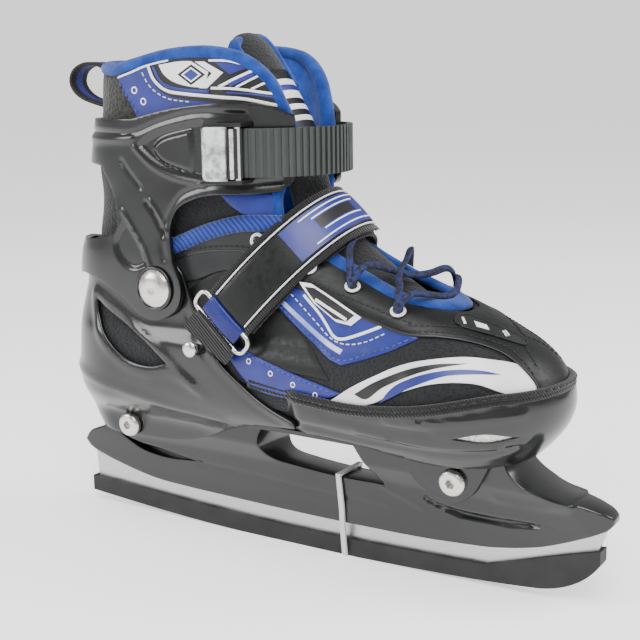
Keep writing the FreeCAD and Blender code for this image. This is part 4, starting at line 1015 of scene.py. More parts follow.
# ---------------------------------------------------------------- sewn boot
THROAT = [(14, 151), (19, 147), (27, 142.4), (40, 137), (55, 131), (67, 127.4)]
SEAM = [(64, 118.5), (78, 118), (90, 116), (102, 112), (110, 107), (116, 101), (119, 95)]


def throat_round(form=UPPER):
    """The throat's edge and its end round the toe's middle line."""
    near = line_on(form, THROAT, 2.0)
    turn = smooth([near[-1], (0.45 * near[-1][0] + 0.55 * form.length, 125.2), (form.length, 125.0)], 2.0)
    return near + turn[1:]


def build_upper():
    middle = UPPER.length
    near = line_on(UPPER, [(-133.5, 148), (-100, 147), (-61, 147)], 3)
    near = [(0.0, 148.0)] + near
    near += line_on(UPPER, [(-61, 147), (-45, 155), (-22, 162), (-4, 162.6), (6, 158), (14, 151)])[1:]
    near += throat_round()[1:]
    near = [(float(run), float(z)) for run, z in near]
    bottom = [(run, 67.0) for run in np.linspace(0, 2 * middle, 140)]
    outline = near + wrap_front(UPPER, near)[1:] + list(reversed(bottom))
    button = UPPER.flat(-43.3, 102.7)
    dent = [(button[0] + 9 * math.cos(t), button[1] + 9 * math.sin(t))
            for t in np.linspace(0, 2 * math.pi, 24, False)]
    body = form_sheet("upper_cloth", UPPER, outline, [], 3.0, 3.2, 0.9, [BLACK_MESH, DARK_LINING],
                      [basin(dent, -5.0, 3.5)], inner=1)
    stretch(body, "liner_fabric", "rear_upper", "front_upper")

    seam = line_on(UPPER, SEAM)
    seam += [(0.5 * (seam[-1][0] + middle), 90.0), (middle, 89.0)]
    low = line_on(UPPER, [(-9, 139), (3, 136), (26, 129.6), (49, 122.5), (64, 118.5)])[:-1] + seam
    rear = line_on(UPPER, [(14, 151), (4, 150), (-6, 146), (-9, 139)])
    upper_edge = throat_round()
    far = wrap_front(UPPER, upper_edge)
    loop = rear[:-1] + low
    outline = (list(reversed(upper_edge)) + loop[1:] + wrap_front(UPPER, loop)[1:-1]
               + list(reversed(far))[:-1])
    outline = [(float(run), float(z)) for run, z in outline]
    verts, faces = form_mesh(UPPER, outline, [], 2.2, lift=1.0)
    facing = finish_solid(mesh("facing_and_toe_cap", verts, faces, BLACK_LEATHER), 1.0, 0.35)
    stretch(facing, "liner_fabric")

    def sewn(name, points, lift, thick, material, bevel=0.2, **options):
        loop = unroll(UPPER, points) if isinstance(points[0], list) else line_on(UPPER,
                                                                                 points + [points[0]])[:-1]
        piece = patch(name, UPPER, loop, lift, thick, bevel, material, **options)
        return stretch(piece, "liner_fabric")

    def line(name, points, width, lift, material, height=0.5, **options):
        return stretch(ribbon(name, UPPER, points, width, height, lift, material, **options), "liner_fabric")

    def sew(name, points, lift, material, **options):
        return stretch(stitches(name, UPPER, points, lift, material, **options), "liner_fabric")

    sewn("swoosh", [
        [(31, 87), (42, 94.6), (52.7, 100.5), (63, 105.5), (74.3, 109), (89.6, 111),
         (103, 109.4), (111.2, 107)],
        [(111.2, 107), (116.4, 102), (118.6, 97)],
        [(118.6, 97), (110, 97), (96.7, 101.5), (80, 100.5), (61.5, 93.5), (53, 89), (42, 86), (31, 87)],
    ], 0.75, 0.9, WHITE_PRINT, 0.3)
    sewn("swoosh_spear", [
        [(56.9, 90), (61, 95.4), (65.9, 99.4), (75, 103.4), (86.2, 106), (97, 106.2), (105, 104.6)],
        [(105, 104.6), (94, 104.8), (83.5, 103.4), (71.2, 98.2), (64, 94), (56.9, 90)],
    ], 1.0, 0.4, BLUE_PRINT, 0)
    sewn("swoosh_slit", [
        [(44, 92), (54, 98.4), (68, 104.6), (80, 107.8), (92, 108.6)],
        [(92, 108.6), (81, 106.4), (70, 102.6), (58, 96.6), (50, 90.6), (44, 92)],
    ], 1.0, 0.4, BLACK_PRINT, 0)
    sewn("side_panel", [
        [(-1.3, 126), (2.4, 130.6), (6.6, 134.5)],
        [(6.6, 134.5), (27.2, 130.5), (48.2, 124.5), (70.2, 117.4)],
        [(70.2, 117.4), (58, 111), (46.8, 106.5), (35.7, 103)],
        [(35.7, 103), (26.5, 106), (10.3, 116.5), (-1.3, 126)],
    ], 0.75, 0.8, BLUE_LEATHER, 0.25)
    plate = [(11.5, 137.0), (17.5, 136.2), (43.6, 124.2), (38.5, 120.2), (31, 121.2), (19.5, 128.4)]
    for name, inset, lift, material in (("plate_white", 1.0, 1.55, WHITE_PRINT),
                                        ("plate_black", 0.8, 1.7, BLACK_PRINT)):
        centre = np.mean(plate, 0)
        corners = [centre + (np.array(corner) - centre) * inset for corner in plate]
        sewn(name, straight(corners), lift, 0.4, material, 0)
    line("plate_bar", [(20.5, 130.2), (36.5, 122.6)], 1.5, 1.95, WHITE_PRINT, 0.3)
    line("side_panel_frame", [(13.8, 131.5), (22.4, 123.5), (28.4, 115.6)], 1.4, 0.95, WHITE_PRINT)
    line("side_panel_mark", [(28.4, 115.6), (31, 113.8), (35.4, 114.0), (43.5, 117.0), (53.1, 121.2)],
         1.4, 0.95, WHITE_PRINT)
    sew("side_panel_dashes", [(6.4, 132), (19.1, 121), (28, 113.6), (36, 111.6), (45.5, 113.6),
                              (56.4, 119)], 0.9, WHITE_THREAD, width=0.6)
    sew("side_panel_seam", [(0.4, 126), (11.4, 117.4), (27, 107.6), (35.8, 104.8), (46.4, 108.2),
                            (57.6, 112.6), (67, 117)], 0.9, BLUE_THREAD)
    rest = [(1, 124.6), (9, 118.8), (18, 112.6), (26.4, 107.8), (33, 105.4)]
    line("side_panel_streak", [(x + 1.6, z + 2.6) for x, z in rest], 2.4, 0.85, SILVER_PRINT, 0.3)
    sewn("heel_panel", [
        [(-52, 128), (-30, 140), (-6, 143), (-8, 130)],
        [(-8, 130), (8, 117), (20, 107), (31, 96)],
        [(31, 96), (0, 98), (-30, 104), (-52, 128)],
    ], 0.5, 0.8, BLACK_LEATHER, 0.3)
    sewn("low_panel", [
        [(-27, 102), (-20.9, 104.6), (-6, 101), (10, 97), (24, 94), (37, 91.2)],
        [(37, 91.2), (26, 87), (6, 85), (-12, 88), (-27, 102)],
    ], 0.95, 0.8, BLUE_PRINT, 0.25)
    sew("low_panel_edge", [(-24, 101.8), (-19, 103.2), (-6, 99.8), (10, 95.8), (24, 92.8), (33, 90.8)], 1.0,
        BLUE_THREAD)
    dots = [(-13, 99.3), (-0.6, 95.3), (11.7, 91.8), (23.7, 88.8)]
    stretch(rings("low_panel_dots", UPPER, dots, 1.1, 0.55, 1.05, WHITE_PRINT), "liner_fabric")
    for number, offset in enumerate((1.4, 3.4)):
        sew("cap_seam_%d" % number, [(x, z + offset) for x, z in SEAM[:-1]], 1.1, BLACK_THREAD, pitch=2.4)
    line("cap_edge", [(26, 129.8), (49, 122.7), (64, 118.7)] + SEAM[1:], 1.2, 1.0, BLACK_PRINT)
    sew("facing_seam", [(-4, 143), (6, 140.4), (28, 133.4), (50, 127), (66, 122.4)], 1.1, BLACK_THREAD,
        pitch=2.6)

    def crest(places):
        """Unrolled path from places given as a share of the toe's quarter round, and a height."""
        return [(UPPER.toe_start + (UPPER.length - UPPER.toe_start) * share, z) for share, z in places]

    def crest_line(name, places, width, material):
        path = smooth(crest(places), 1.2)
        points = [UPPER.place(run, z) + UPPER.normal(run, z) * 1.4 for run, z in path]
        normals = [UPPER.normal(run, z) for run, z in path]
        stretch(mesh(name, *sweep(points, width, 0.5, normals=normals), material), "liner_fabric")

    corners = [(0.61, 120.8), (0.64, 123.2), (0.80, 124.2), (0.90, 119.6), (0.98, 114.4), (0.88, 112.8),
               (0.74, 117.0)]
    label = patch("cap_label", UPPER, smooth(crest(corners), 1.6, True), 1.3, 0.5, 0, GREY_LEATHER,
                  far=False)
    stretch(label, "liner_fabric")
    crest_line("label_edge", corners[::-1] + [corners[-1]], 0.7, BLACK_THREAD)
    crest_line("label_bar_rear", [(0.655, 121.4), (0.72, 123.4)], 1.2, WHITE_PRINT)
    diamond = [(0.71, 120.2), (0.76, 121.9), (0.81, 120.2), (0.77, 118.7)]
    outline = trace(straight(crest(diamond)), 1.0)
    stretch(patch("label_diamond", UPPER, outline, 1.45, 0.4, 0, WHITE_PRINT, far=False), "liner_fabric")
    for number, share in enumerate((0.835, 0.865)):
        crest_line("label_bar_front_%d" % number, [(share, 116.0), (share + 0.04, 117.6)], 0.9, WHITE_PRINT)

    edge = throat_round()
    whole = edge + wrap_front(UPPER, edge)[1:]
    path = smooth([whole[0]] + whole[4:-4:5] + [whole[-1]], 1.6)
    rope = [UPPER.place(run, z + 2.2, -1.0) for run, z in path]
    normals = [UPPER.normal(run, z) for run, z in path]
    binding = mesh("throat_binding", *sweep(rope, 9.2, 4.6, normals=normals, sides=14), BLUE_FLEECE)
    stretch(binding, "collar_fabric")


EYELETS = {
    "rear_eyelets": ("frame", [(-12, 153.6), (14, 142.4)]),
    "front_eyelets": ("toe", [(35, 135), (58.2, 126.3)]),
}


def build_eyelets():
    """White rings round dark holes, set into the facing."""
    for node, (body, places) in EYELETS.items():
        ring = rings("visual_" + node, UPPER, places, 2.75, 1.7, 1.7, EYELET_WHITE)
        wear(ring, body, "white_eyelet", node)
        hole = rings("holes_" + node, UPPER, places, 1.0, 2.0, 1.3, BLACK_PRINT)
        wear(hole, body, "liner_fabric")


def build_ankle():
    """Ankle cloth under the cuff's front flap, with its padded piping and lower panel."""
    def sewn(name, loop, lift, thick, material, bevel=0.25):
        return lean(patch(name, UPPER, unroll(UPPER, loop), lift, thick, bevel, material), "liner_fabric")

    sewn("ankle_panel", [
        [(-63, 146), (-46, 153.5), (-22, 160), (-2, 160), (8, 155)],
        [(8, 153), (2, 147), (-8, 140)],
        [(-8, 140), (-30, 139), (-52, 133), (-63, 146)],
    ], 1.2, 1.2, GREY_LEATHER)
    bead = ribbon("padded_piping", UPPER, [(-64, 146.5), (-54, 150.4), (-38, 156.6), (-20, 161),
                                           (-2, 161.4)], 7.6, 5.0, 1.4, BLUE_RIB)
    lean(bead, "collar_fabric")
    seam = [(-60, 143.6), (-48, 147.4), (-36, 149.6), (-20, 150.6), (-4, 149)]
    lean(stitches("ankle_seam", UPPER, seam, 1.3, BLACK_THREAD), "liner_fabric")
    lean(ribbon("ankle_fold", UPPER, [(x, z - 2) for x, z in seam], 1.0, 0.5, 1.2, BLACK_PRINT),
         "liner_fabric")


def build_collar():
    top = [(-91, 229.6), (-77, 232.6), (-63, 235.6), (-50, 237), (-37, 237), (-23, 234.6), (-14, 230)]
    front = [(-14, 230), (-8, 223.4), (-4.4, 215), (-1.4, 207), (-0.8, 201), (-1.8, 194)]
    low = [(-1.8, 194), (-4, 182), (-5.6, 172), (-3, 160)]
    outline = wrap_back(COLLAR, [
        [(-160, 231.5), (-112, 231)],
        [(-112, 231), (-100, 230), (-91, 229.6)],
        top,
        front,
        low,
        [(-3, 160), (-30, 158), (-60, 146)],
        [(-60, 146), (-160, 142)],
    ])

    def tuck(run, z):
        """The ankle cloth lies further in, behind the cuff."""
        t = min(1.0, max(0.0, (z - 160) / 20))
        return -1.6 * (1 - t)

    # The lining's inner face takes the lighter fleece copy: painted light where it lies in shade.
    body = form_sheet("collar_cloth", COLLAR, outline, [], 2.6, 5.0, 1.8, [BLACK_MESH, PAINTED_LIGHT_FLEECE],
                      grow=tuck, inner=1)
    lean(body, "collar_fabric", "collar")
    rim = [p for p in outline if p[1] > 181 and p[0] > -1e-6]
    rim = [rim[0]] + rim[3:-3:3] + [rim[-1]]
    rim = smooth(mirrored(rim)[:-1] + rim, 1.8)
    rope = [COLLAR.place(run, z, -2.2) for run, z in rim]
    normals = [COLLAR.normal(run, z) for run, z in rim]
    binding = mesh("collar_binding", *sweep(rope, 6.4, 7.4, normals=normals, sides=14), BLUE_FLEECE)
    wear(binding, "cuff", "collar_fabric")
    lean(ribbon("front_binding", COLLAR, [(-1.8, 196), (-3.8, 182), (-5.4, 172), (-3.4, 160.5)], 5.6,
                5.0, -1.2, BLUE_FLEECE), "collar_fabric")

    gusset = [(-31.5, 173.5), (-5.6, 174.5), (-5.6, 163.5), (-20.4, 165.5), (-26.1, 169)]
    gusset = patch("ankle_gusset", COLLAR, unroll(COLLAR, straight(gusset), 1.6), 0.4, 0.8, 0.2,
                   BLUE_LEATHER)
    lean(gusset, "collar_fabric")

    def printed_piece(name, loop, lift, material, far=True):
        piece = patch(name, COLLAR, unroll(COLLAR, loop, 1.6), lift, 0.3, 0, material, far)
        return wear(piece, "cuff", "collar_fabric")

    def stripe(name, points, width, lift, material):
        return wear(ribbon(name, COLLAR, points, width, 0.3, lift, material), "cuff", "collar_fabric")

    printed_piece("heel_lattice", [
        [(-160, 226), (-108, 226), (-96, 226.4), (-90, 226.6)],
        [(-90, 226.6), (-84.6, 220), (-80.6, 214), (-76, 206)],
        [(-76, 206), (-100, 204), (-160, 203)],
        [(-160, 203), (-160, 226)],
    ], 0.15, LATTICE)
    printed_piece("patch_blue", [
        [(-88.7, 225.8), (-80, 228), (-70, 231.4), (-60, 233)],
        [(-60, 233), (-54, 222), (-30, 216), (-5, 209)],
        [(-5, 209), (-30, 207), (-76, 206)],
        [(-76, 206), (-80.5, 214.6), (-84.7, 220.6), (-88.7, 225.8)],
    ], 0.4, BLUE_PRINT)
    stripe("patch_top_edge", [(-88.4, 226.4), (-80, 228.6), (-69.4, 232), (-58, 234)], 1.0, 0.6, WHITE_PRINT)
    sewn_line = [(-87.4, 224.4), (-84.4, 220.2), (-80, 214.6), (-76.6, 210)]
    wear(stitches("patch_back_seam", COLLAR, sewn_line, 0.6, BLUE_THREAD, width=0.6), "cuff",
         "collar_fabric")
    wear(rings("patch_dots", COLLAR, [(-77.8, 220.6), (-72.9, 215.4)], 1.4, 0.7, 0.55, WHITE_PRINT),
         "cuff", "collar_fabric")
    dashed = [(-73.4, 229.4), (-69.4, 223), (-64.6, 219.2), (-57.5, 216.4), (-44.5, 215)]
    wear(stitches("patch_dashes", COLLAR, dashed, 0.6, WHITE_THREAD, pitch=3.2, width=0.6), "cuff",
         "collar_fabric")
    printed_piece("panel_black", [
        [(-70.5, 232.4), (-58, 234), (-45, 234.6), (-30, 234), (-19, 231.6)],
        [(-19, 231.6), (-12, 227.8), (-8, 222), (-5.4, 215), (-4.6, 211)],
        [(-4.6, 211), (-16, 213), (-30, 214.6), (-51, 216.6), (-60, 218.6), (-66.6, 223.6), (-70.5, 232.4)],
    ], 0.5, BLACK_PRINT)
    stripe("white_sweep", [(-69.4, 231.6), (-66.3, 225.2), (-60, 220.6), (-51, 219), (-30.7, 217.4),
                           (-18, 216.4), (-5.6, 213.6)], 1.5, 0.68, WHITE_PRINT)
    stripe("blue_sweep", [(-66.6, 231.4), (-63, 225), (-57.4, 221.9), (-47.8, 220.4), (-36, 219.8)],
           1.6, 0.68, BLUE_PRINT)
    printed_piece("white_field", [
        [(-63.4, 232), (-52, 233.4), (-45.6, 233.4)],
        [(-45.6, 233.4), (-36.4, 228.6)],
        [(-36.4, 228.6), (-38.6, 221.6)],
        [(-38.6, 221.6), (-48, 222.4), (-56.1, 224.6), (-61, 228), (-63.4, 232)],
    ], 0.62, WHITE_PRINT)
    chevron = [(-43.4, 233.2), (-38.6, 233.2), (-28.4, 228.2), (-37.2, 221.4), (-41.4, 221.4), (-34.4, 228)]
    printed_piece("chevron", straight(chevron), 0.72, WHITE_PRINT)
    diamond = [(-45.4, 232), (-38, 227.4), (-45.8, 222.8), (-53, 227.6)]
    core = [(-45.4, 230), (-41.4, 227.4), (-45.6, 224.8), (-49.6, 227.5)]
    rim = [(-45.4, 230.8), (-40, 227.4), (-45.6, 224.0), (-51, 227.5)]
    for name, loop, lift, material in (("diamond_black", diamond, 0.78, BLACK_PRINT),
                                       ("diamond_white", rim, 0.86, WHITE_PRINT),
                                       ("diamond_blue", core, 0.94, BLUE_PRINT)):
        printed_piece(name, straight(loop), lift, material)
    stripe("panel_border", [(-36, 233.6), (-26, 233.2), (-17, 230.8), (-11.4, 227.4), (-8, 222.6),
                            (-5.8, 217)], 1.0, 0.68, WHITE_PRINT)
    triangle = [(-32.6, 232.8), (-22, 231.9), (-16.8, 230.2), (-25.4, 227.4)]
    printed_piece("blue_triangle", straight(triangle), 0.66, BLUE_PRINT)
    bars = [
        ("bar_white", (-13.6, 229.4), (-31, 221.8), 1.4, WHITE_PRINT),
        ("bar_blue", (-14.4, 227.6), (-25.6, 222.8), 2.2, BLUE_PRINT),
        ("bar_thin", (-11.4, 227.2), (-22.4, 221.6), 1.0, WHITE_PRINT),
        ("bar_front", (-9.0, 224.0), (-15.6, 220.8), 1.0, WHITE_PRINT),
    ]
    for name, start, end, width, material in bars:
        stripe(name, [start, end], width, 0.72, material)
    stripe("line_middle", [(-35.1, 221.4), (-21.5, 220.9), (-6.6, 218.6)], 1.2, 0.76, WHITE_PRINT)
    stripe("line_blue", [(-27, 219.4), (-16, 218.6), (-6.4, 217)], 0.9, 0.72, BLUE_PRINT)
    wear(stitches("panel_stitches", COLLAR, [(-30, 212), (-18, 210.8), (-6.4, 208.4)], 0.6, WHITE_THREAD,
                  width=0.6), "cuff", "collar_fabric")


# ---------------------------------------------------------------- tongue
def tongue_drop(y, t):
    """How far the tongue curves back at a place y across it, a share t of its half width."""
    return 0.018 * y * y + 1.4 * t ** 6


def build_tongue():
    spine = smooth([(72, 122.6), (64, 126.4), (54, 131.6), (42, 139), (27, 149.4), (14, 160), (6, 171),
                    (2.0, 184), (-1.0, 196), (-5.6, 206), (-12, 217), (-21, 231.4), (-29.4, 242.4),
                    (-35.5, 246.6)], 2.4)
    spine = np.array(spine)
    ahead = np.gradient(spine, axis=0)
    ahead /= np.linalg.norm(ahead, axis=1)[:, None]
    count = len(spine)
    heights = spine[:, 1]
    half = np.interp(heights, [122, 128, 140, 165, 195, 225, 240, 247.4],
                     [14, 17, 17.5, 17, 15, 14.5, 14.5, 10.5])
    verts, steps = [], 16
    for i in range(count):
        normal = np.array([ahead[i][1], -ahead[i][0]])
        normal = -normal if normal[0] < 0 else normal
        for k in range(steps + 1):
            t = 2 * k / steps - 1
            y = half[i] * t
            x, z = spine[i] - normal * tongue_drop(y, t)
            verts.append((x, y, z))
    faces = []
    for i in range(count - 1):
        for k in range(steps):
            a = i * (steps + 1) + k
            faces.append((a, a + 1, a + steps + 2, a + steps + 1))
    body = mesh("tongue_cloth", verts, faces, BLACK_MESH, BLUE_FLEECE)
    body = finish_solid(body, 5.0, 2.0, inner=1)
    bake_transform(body)
    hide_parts("tongue_upper", "tongue_lower")

    def across(name, low, high, grow, share, thick, material, body_name="cuff"):
        """Patch across the tongue's outer face between two heights."""
        rows = np.linspace(low, high, max(2, int((high - low) / 2) + 1))
        points, quads = [], []
        for level in rows:
            place = np.array([np.interp(level, heights, spine[:, k]) for k in (0, 1)])
            along = [np.interp(level, heights, ahead[:, k]) for k in (0, 1)]
            normal, wide = np.array([along[1], -along[0]]), np.interp(level, heights, half)
            for k in range(13):
                t = (2 * k / 12 - 1) * share
                y = wide * t
                x, z = place + normal * (grow - tongue_drop(y, t))
                points.append((x, y, z))
        for r in range(len(rows) - 1):
            for k in range(12):
                a = r * 13 + k
                quads.append((a, a + 1, a + 14, a + 13))
        piece = finish_solid(mesh(name, points, quads, material), thick, 0.2)
        return wear(piece, body_name, "liner_fabric")

    across("tongue_patch", 196, 229, 0.7, 0.84, 0.8, BLACK_LEATHER)
    bands = [(222, 224.6, WHITE_PRINT), (216, 219.5, WHITE_PRINT), (211, 213.4, WHITE_PRINT),
             (206, 208.4, WHITE_PRINT), (219.5, 222, BLUE_PRINT)]
    for number, (low, high, material) in enumerate(bands):
        across("tongue_band_%d" % number, low, high, 0.95, 0.8, 0.3, material)
    rim = []
    for side in (-1, 1):
        part = []
        for i in range(count):
            if heights[i] > 222:
                normal = np.array([ahead[i][1], -ahead[i][0]])
                normal = -normal if normal[0] < 0 else normal
                y = half[i] * side
                x, z = spine[i] - normal * (tongue_drop(y, side) + 0.6)
                part.append(np.array([x, y, z]))
        rim.append(part)
    loop = rim[0] + list(reversed(rim[1]))
    loop = smooth([loop[0]] + loop[2:-2:3] + [loop[-1]], 2.0)
    binding = mesh("tongue_binding", *sweep(loop, 5.6, 6.4, sides=14), BLUE_FLEECE)
    wear(binding, "cuff", "collar_fabric")


# ---------------------------------------------------------------- buckle lever
LEVER_TURN = math.radians(12)


def buckle_place(across, out, up):
    """Place in the buckle's tangent frame: across the strap, out from the boot, up."""
    c, s = math.cos(LEVER_TURN), math.sin(LEVER_TURN)
    return np.array([-27.6 + across * c - out * s, -1.0 + across * s + out * c, 193.5 + up])


def lever_bar(name, profile, tall, bevel, material, corner=0.0):
    """Upright moulding from a plan outline in the buckle's frame, with rounded corners at its free end."""
    flat, faces = fill(trace(profile, 0.5), [], 1.0)
    tip = flat[:, 0].min()

    def half(u):
        short = max(0.0, corner - (u - tip))
        return tall / 2 - corner + math.sqrt(max(0.0, corner ** 2 - short ** 2))

    faces = outward(flat, faces)
    count = len(flat)
    verts = [buckle_place(u, v, half(u)) for u, v in flat] + [buckle_place(u, v, -half(u)) for u, v in flat]
    rims = rim_faces(faces, count)
    below = [tuple(i + count for i in reversed(f)) for f in faces]
    return finish_solid(mesh(name, verts, faces + below + rims, material), 0, bevel)


def build_lever():
    face = lever_bar("lever_face", [
        [(-9, -47.0), (-9.2, -48.4), (-8.2, -49.6), (-5, -50.4), (-1, -50.2), (2.2, -49.4)],
        [(2.2, -49.4), (2.2, -46.8)],
        [(2.2, -46.8), (-9, -47.0)],
    ], 23.4, 0.6, CLEAR, 3.2)
    wear(face, "lever", "clear_lever", "buckle_lever")
    root = lever_bar("lever_root", [
        [(2.2, -48.2), (5.2, -47.8), (6.4, -46.6)],
        [(6.4, -46.6), (8.0, -43.4), (6.2, -42.6), (4.4, -43.2)],
        [(4.4, -43.2), (2.2, -46.8)],
        [(2.2, -46.8), (2.2, -48.2)],
    ], 21.6, 0.4, BLACK_SATIN)
    wear(root, "lever", "black_shell")
    bar = lever_bar("lever_bar", [
        [(4.3, -49.4), (5.7, -48.9), (5.7, -47.8)],
        [(5.7, -47.8), (4.3, -47.8)],
        [(4.3, -47.8), (4.3, -49.4)],
    ], 21.6, 0.3, CLEAR)
    wear(bar, "lever", "clear_lever")
    for number, (across, out) in enumerate(((-6.6, -50.2), (-3.4, -50.5), (-0.6, -50.3))):
        streak = lever_bar("lever_rib_%d" % number, [
            [(across - 0.5, out), (across, out - 0.35), (across + 0.5, out)],
            [(across + 0.5, out), (across + 0.5, out + 0.6)],
            [(across + 0.5, out + 0.6), (across - 0.5, out + 0.6)],
            [(across - 0.5, out + 0.6), (across - 0.5, out)],
        ], 19.0 - number, 0, CLEAR)
        wear(streak, "lever", "clear_lever")


# ---------------------------------------------------------------- straps
TILT = math.radians(42)
STRAP_AT = np.array([-25.0, 0.0, 117.0])
STRAP_HALF, STRAP_HIGH = 38.6, 64.0
RING_OUT = np.array([0, -41.6, 0])
STRAP_WIDE = np.array([math.cos(TILT), 0.0, -math.sin(TILT)])
STRAP_RISE = np.array([math.sin(TILT), 0.0, math.cos(TILT)])


def strap_point(degrees, across, grow=0.0):
    """Place on the instep strap's half oval: 0 is the far end, 180 the ring's side."""
    turn = math.radians(degrees)
    return (STRAP_AT + np.array([0.0, (STRAP_HALF + grow) * math.cos(turn), 0.0])
            + STRAP_RISE * (STRAP_HIGH + grow) * math.sin(turn) + STRAP_WIDE * across)


def strap_band(name, start, end, low, high, grow, thick, bevel, material, body, slot="webbing",
               nodes=(), crown=0.0):
    """Band of the instep strap between two turns and two places across it."""
    turns = np.arange(start, end + 0.1, 2.5)
    wide = np.linspace(low, high, max(3, int((high - low) / 2) + 1))
    middle, half = 0.5 * (low + high), 0.5 * (high - low)
    verts, faces = [], []
    for turn in turns:
        for w in wide:
            arch = crown * (1 - ((w - middle) / half) ** 2)
            verts.append(strap_point(turn, w, (grow(turn) if callable(grow) else grow) + arch))
    row = len(wide)
    for i in range(len(turns) - 1):
        for k in range(row - 1):
            a = i * row + k
            faces.append((a, a + row, a + row + 1, a + 1))
    obj = finish_solid(mesh(name, verts, faces, material), thick, bevel)
    return wear(obj, body, slot, *nodes)


def build_straps():
    def tucked_root(turn):
        """The web's far end draws in towards the boot."""
        return 4.2 * min(0.0, turn) / 18

    strap_band("instep_web", -18, 176, -14, 14, tucked_root, 1.6, 0.5, BLACK_WEB, "frame",
               nodes=("instep_strap",))
    strap_band("flap_web", 78, 178, -13.4, 13.4, 3.2, 1.8, 0.6, BLACK_WEB, "flap", nodes=("strap_flap",))
    strap_band("flap_face", 79, 175.5, -9.4, 9.4, 3.9, 0.9, 0.3, BLACK_LEATHER, "flap", crown=0.5)
    strap_band("flap_print", 82, 138, -8.6, 8.6, 4.35, 0.4, 0, BLUE_PRINT, "flap", crown=0.45)
    strap_band("flap_print_dark", 92, 120, -3.2, 2.0, 4.9, 0.3, 0, BLACK_PRINT, "flap")
    strap_band("flap_fold", 174.5, 182, -11.5, 11.5, 4.6, 3.6, 0.9, DARK_BLUE, "flap", crown=0.9)
    strap_band("tab_fold", 183.2, 187.5, -12.5, 12.5, 4.9, 3.6, 0.9, BLACK_WEB, "frame")
    for number, across in enumerate((-10.2, 10.2)):
        strap_band("flap_piping_%d" % number, 78, 175, across - 0.4, across + 0.4, 4.1, 0.9, 0.2,
                   WHITE_PRINT, "flap", crown=0.4)
    for number, across in enumerate((-12.6, 12.6)):
        strap_band("flap_border_%d" % number, 78, 177, across - 1.3, across + 1.3, 3.5, 0.7, 0.3, BLACK_WEB,
                   "flap")
    lines = ((-6.8, 84, 128), (-4.2, 88, 122), (3.0, 88, 120), (6.8, 84, 128))
    for number, (across, start, end) in enumerate(lines):
        strap_band("flap_line_%d" % number, start, end, across - 0.3, across + 0.3, 4.95, 0.3, 0,
                   WHITE_PRINT, "flap")


def build_ring():
    """Rounded wire ring that the flap runs through."""
    long_half, high_half, corner = 17.0, 4.6, 3.4
    loop = []
    for across, up, start in ((1, 1, 0), (-1, 1, 90), (-1, -1, 180), (1, -1, 270)):
        for turn in range(start, start + 91, 15):
            t = math.radians(turn)
            loop.append(STRAP_AT + RING_OUT
                        + STRAP_WIDE * (across * (long_half - corner) + corner * math.cos(t))
                        + STRAP_RISE * (up * (high_half - corner) + corner * math.sin(t)))
    ring = mesh("wire_ring", *sweep(loop, 2.3, 2.3, closed=True, normals=[(0, -1.0, 0)] * len(loop)), NICKEL)
    wear(ring, "frame", "rivet_metal", "strap_ring")


def build_laces():
    """Four crossings of flat cord that end in the eyelets."""
    rungs = [
        [(35, -27.6, 135), (36.5, -27.4, 139), (39, -25.5, 144.2), (43, -21, 145.4), (48, -11, 141.6),
         (52, 0, 138.6), (55, 10, 138.2), (57.5, 19, 139.2), (58.6, 24.5, 137),
         (58.6, 28.2, 131), (58.2, 29.2, 126.6)],
        [(58.2, -29.2, 126.3), (58.4, -28.6, 131), (57.6, -25, 137), (54, -19, 139.4), (49, -9, 141),
         (45, 1, 141.6), (42, 11, 143.4), (39, 20, 146.4), (36.5, 25.6, 145),
         (35.2, 27.6, 139), (35, 27.6, 135)],
        [(58.2, -29.2, 126.3), (60, -28, 131), (63, -23.5, 134.6), (66, -14, 133.2), (68, -2, 130.6),
         (68, 8, 130.6), (65, 18, 133.4), (62, 24, 134.8), (59, 28.4, 130), (58.2, 29.2, 126.5)],
        [(35, -27.6, 135), (34.5, -27.4, 140), (33, -25, 146.6), (29, -18, 151.6), (25, -8, 153.6),
         (20, 2, 157), (17, 12, 158.6), (15, 22, 157), (14, 28, 150), (14, 31, 143)],
    ]
    for number, rung in enumerate(rungs):
        path = smooth(rung, 1.2)
        lace = mesh("lace_run_%d" % number, *sweep(path, 3.6, 2.2, sides=12), LACE)
        if number < 3:
            wear(lace, "toe", "lace_cord", *(["laces"] if number == 0 else []))
        else:
            stretch(lace, "lace_cord")


def build_pull_loop():
    loop = [(-113.5, 226), (-122, 232.6), (-133, 234), (-141.6, 230), (-143.4, 222.6), (-136, 215.6),
            (-117, 210.4)]
    path = [np.array([x, 0.0, z]) for x, z in smooth(loop, 2.0)]
    verts, faces = [], []
    for point in path:
        for k in range(7):
            verts.append(point + np.array([0.0, 2.0 * k - 6.0, 0.0]))
    for i in range(len(path) - 1):
        for k in range(6):
            a = i * 7 + k
            faces.append((a, a + 1, a + 8, a + 7))
    obj = finish_solid(mesh("pull_web", verts, faces, STRIPED_WEB), 1.6, 0.4)
    wear(obj, "cuff", "webbing", "pull_loop")


def build_insole():
    outline = [tuple(UPPER.place(run, 74, -7.4)[:2]) for run in np.linspace(0, 2 * UPPER.length, 90,
                                                                            endpoint=False)]
    flat, faces = fill(outline, [], 4)
    faces = outward(flat, faces)
    verts = [(x, y, 76.0 + 0.006 * y * y) for x, y in flat]
    obj = finish_solid(mesh("insole_foam", verts, faces, DARK_LINING), 4.0, 1.2)
    wear(obj, "frame", "foam_insole", "insole")


build_holder()
build_heel_shell()
build_sole()
build_toe_shell()
build_cuff()
build_upper()
build_eyelets()
build_ankle()
build_collar()
build_tongue()
build_lever()
build_straps()
build_ring()
build_laces()
build_pull_loop()
build_insole()


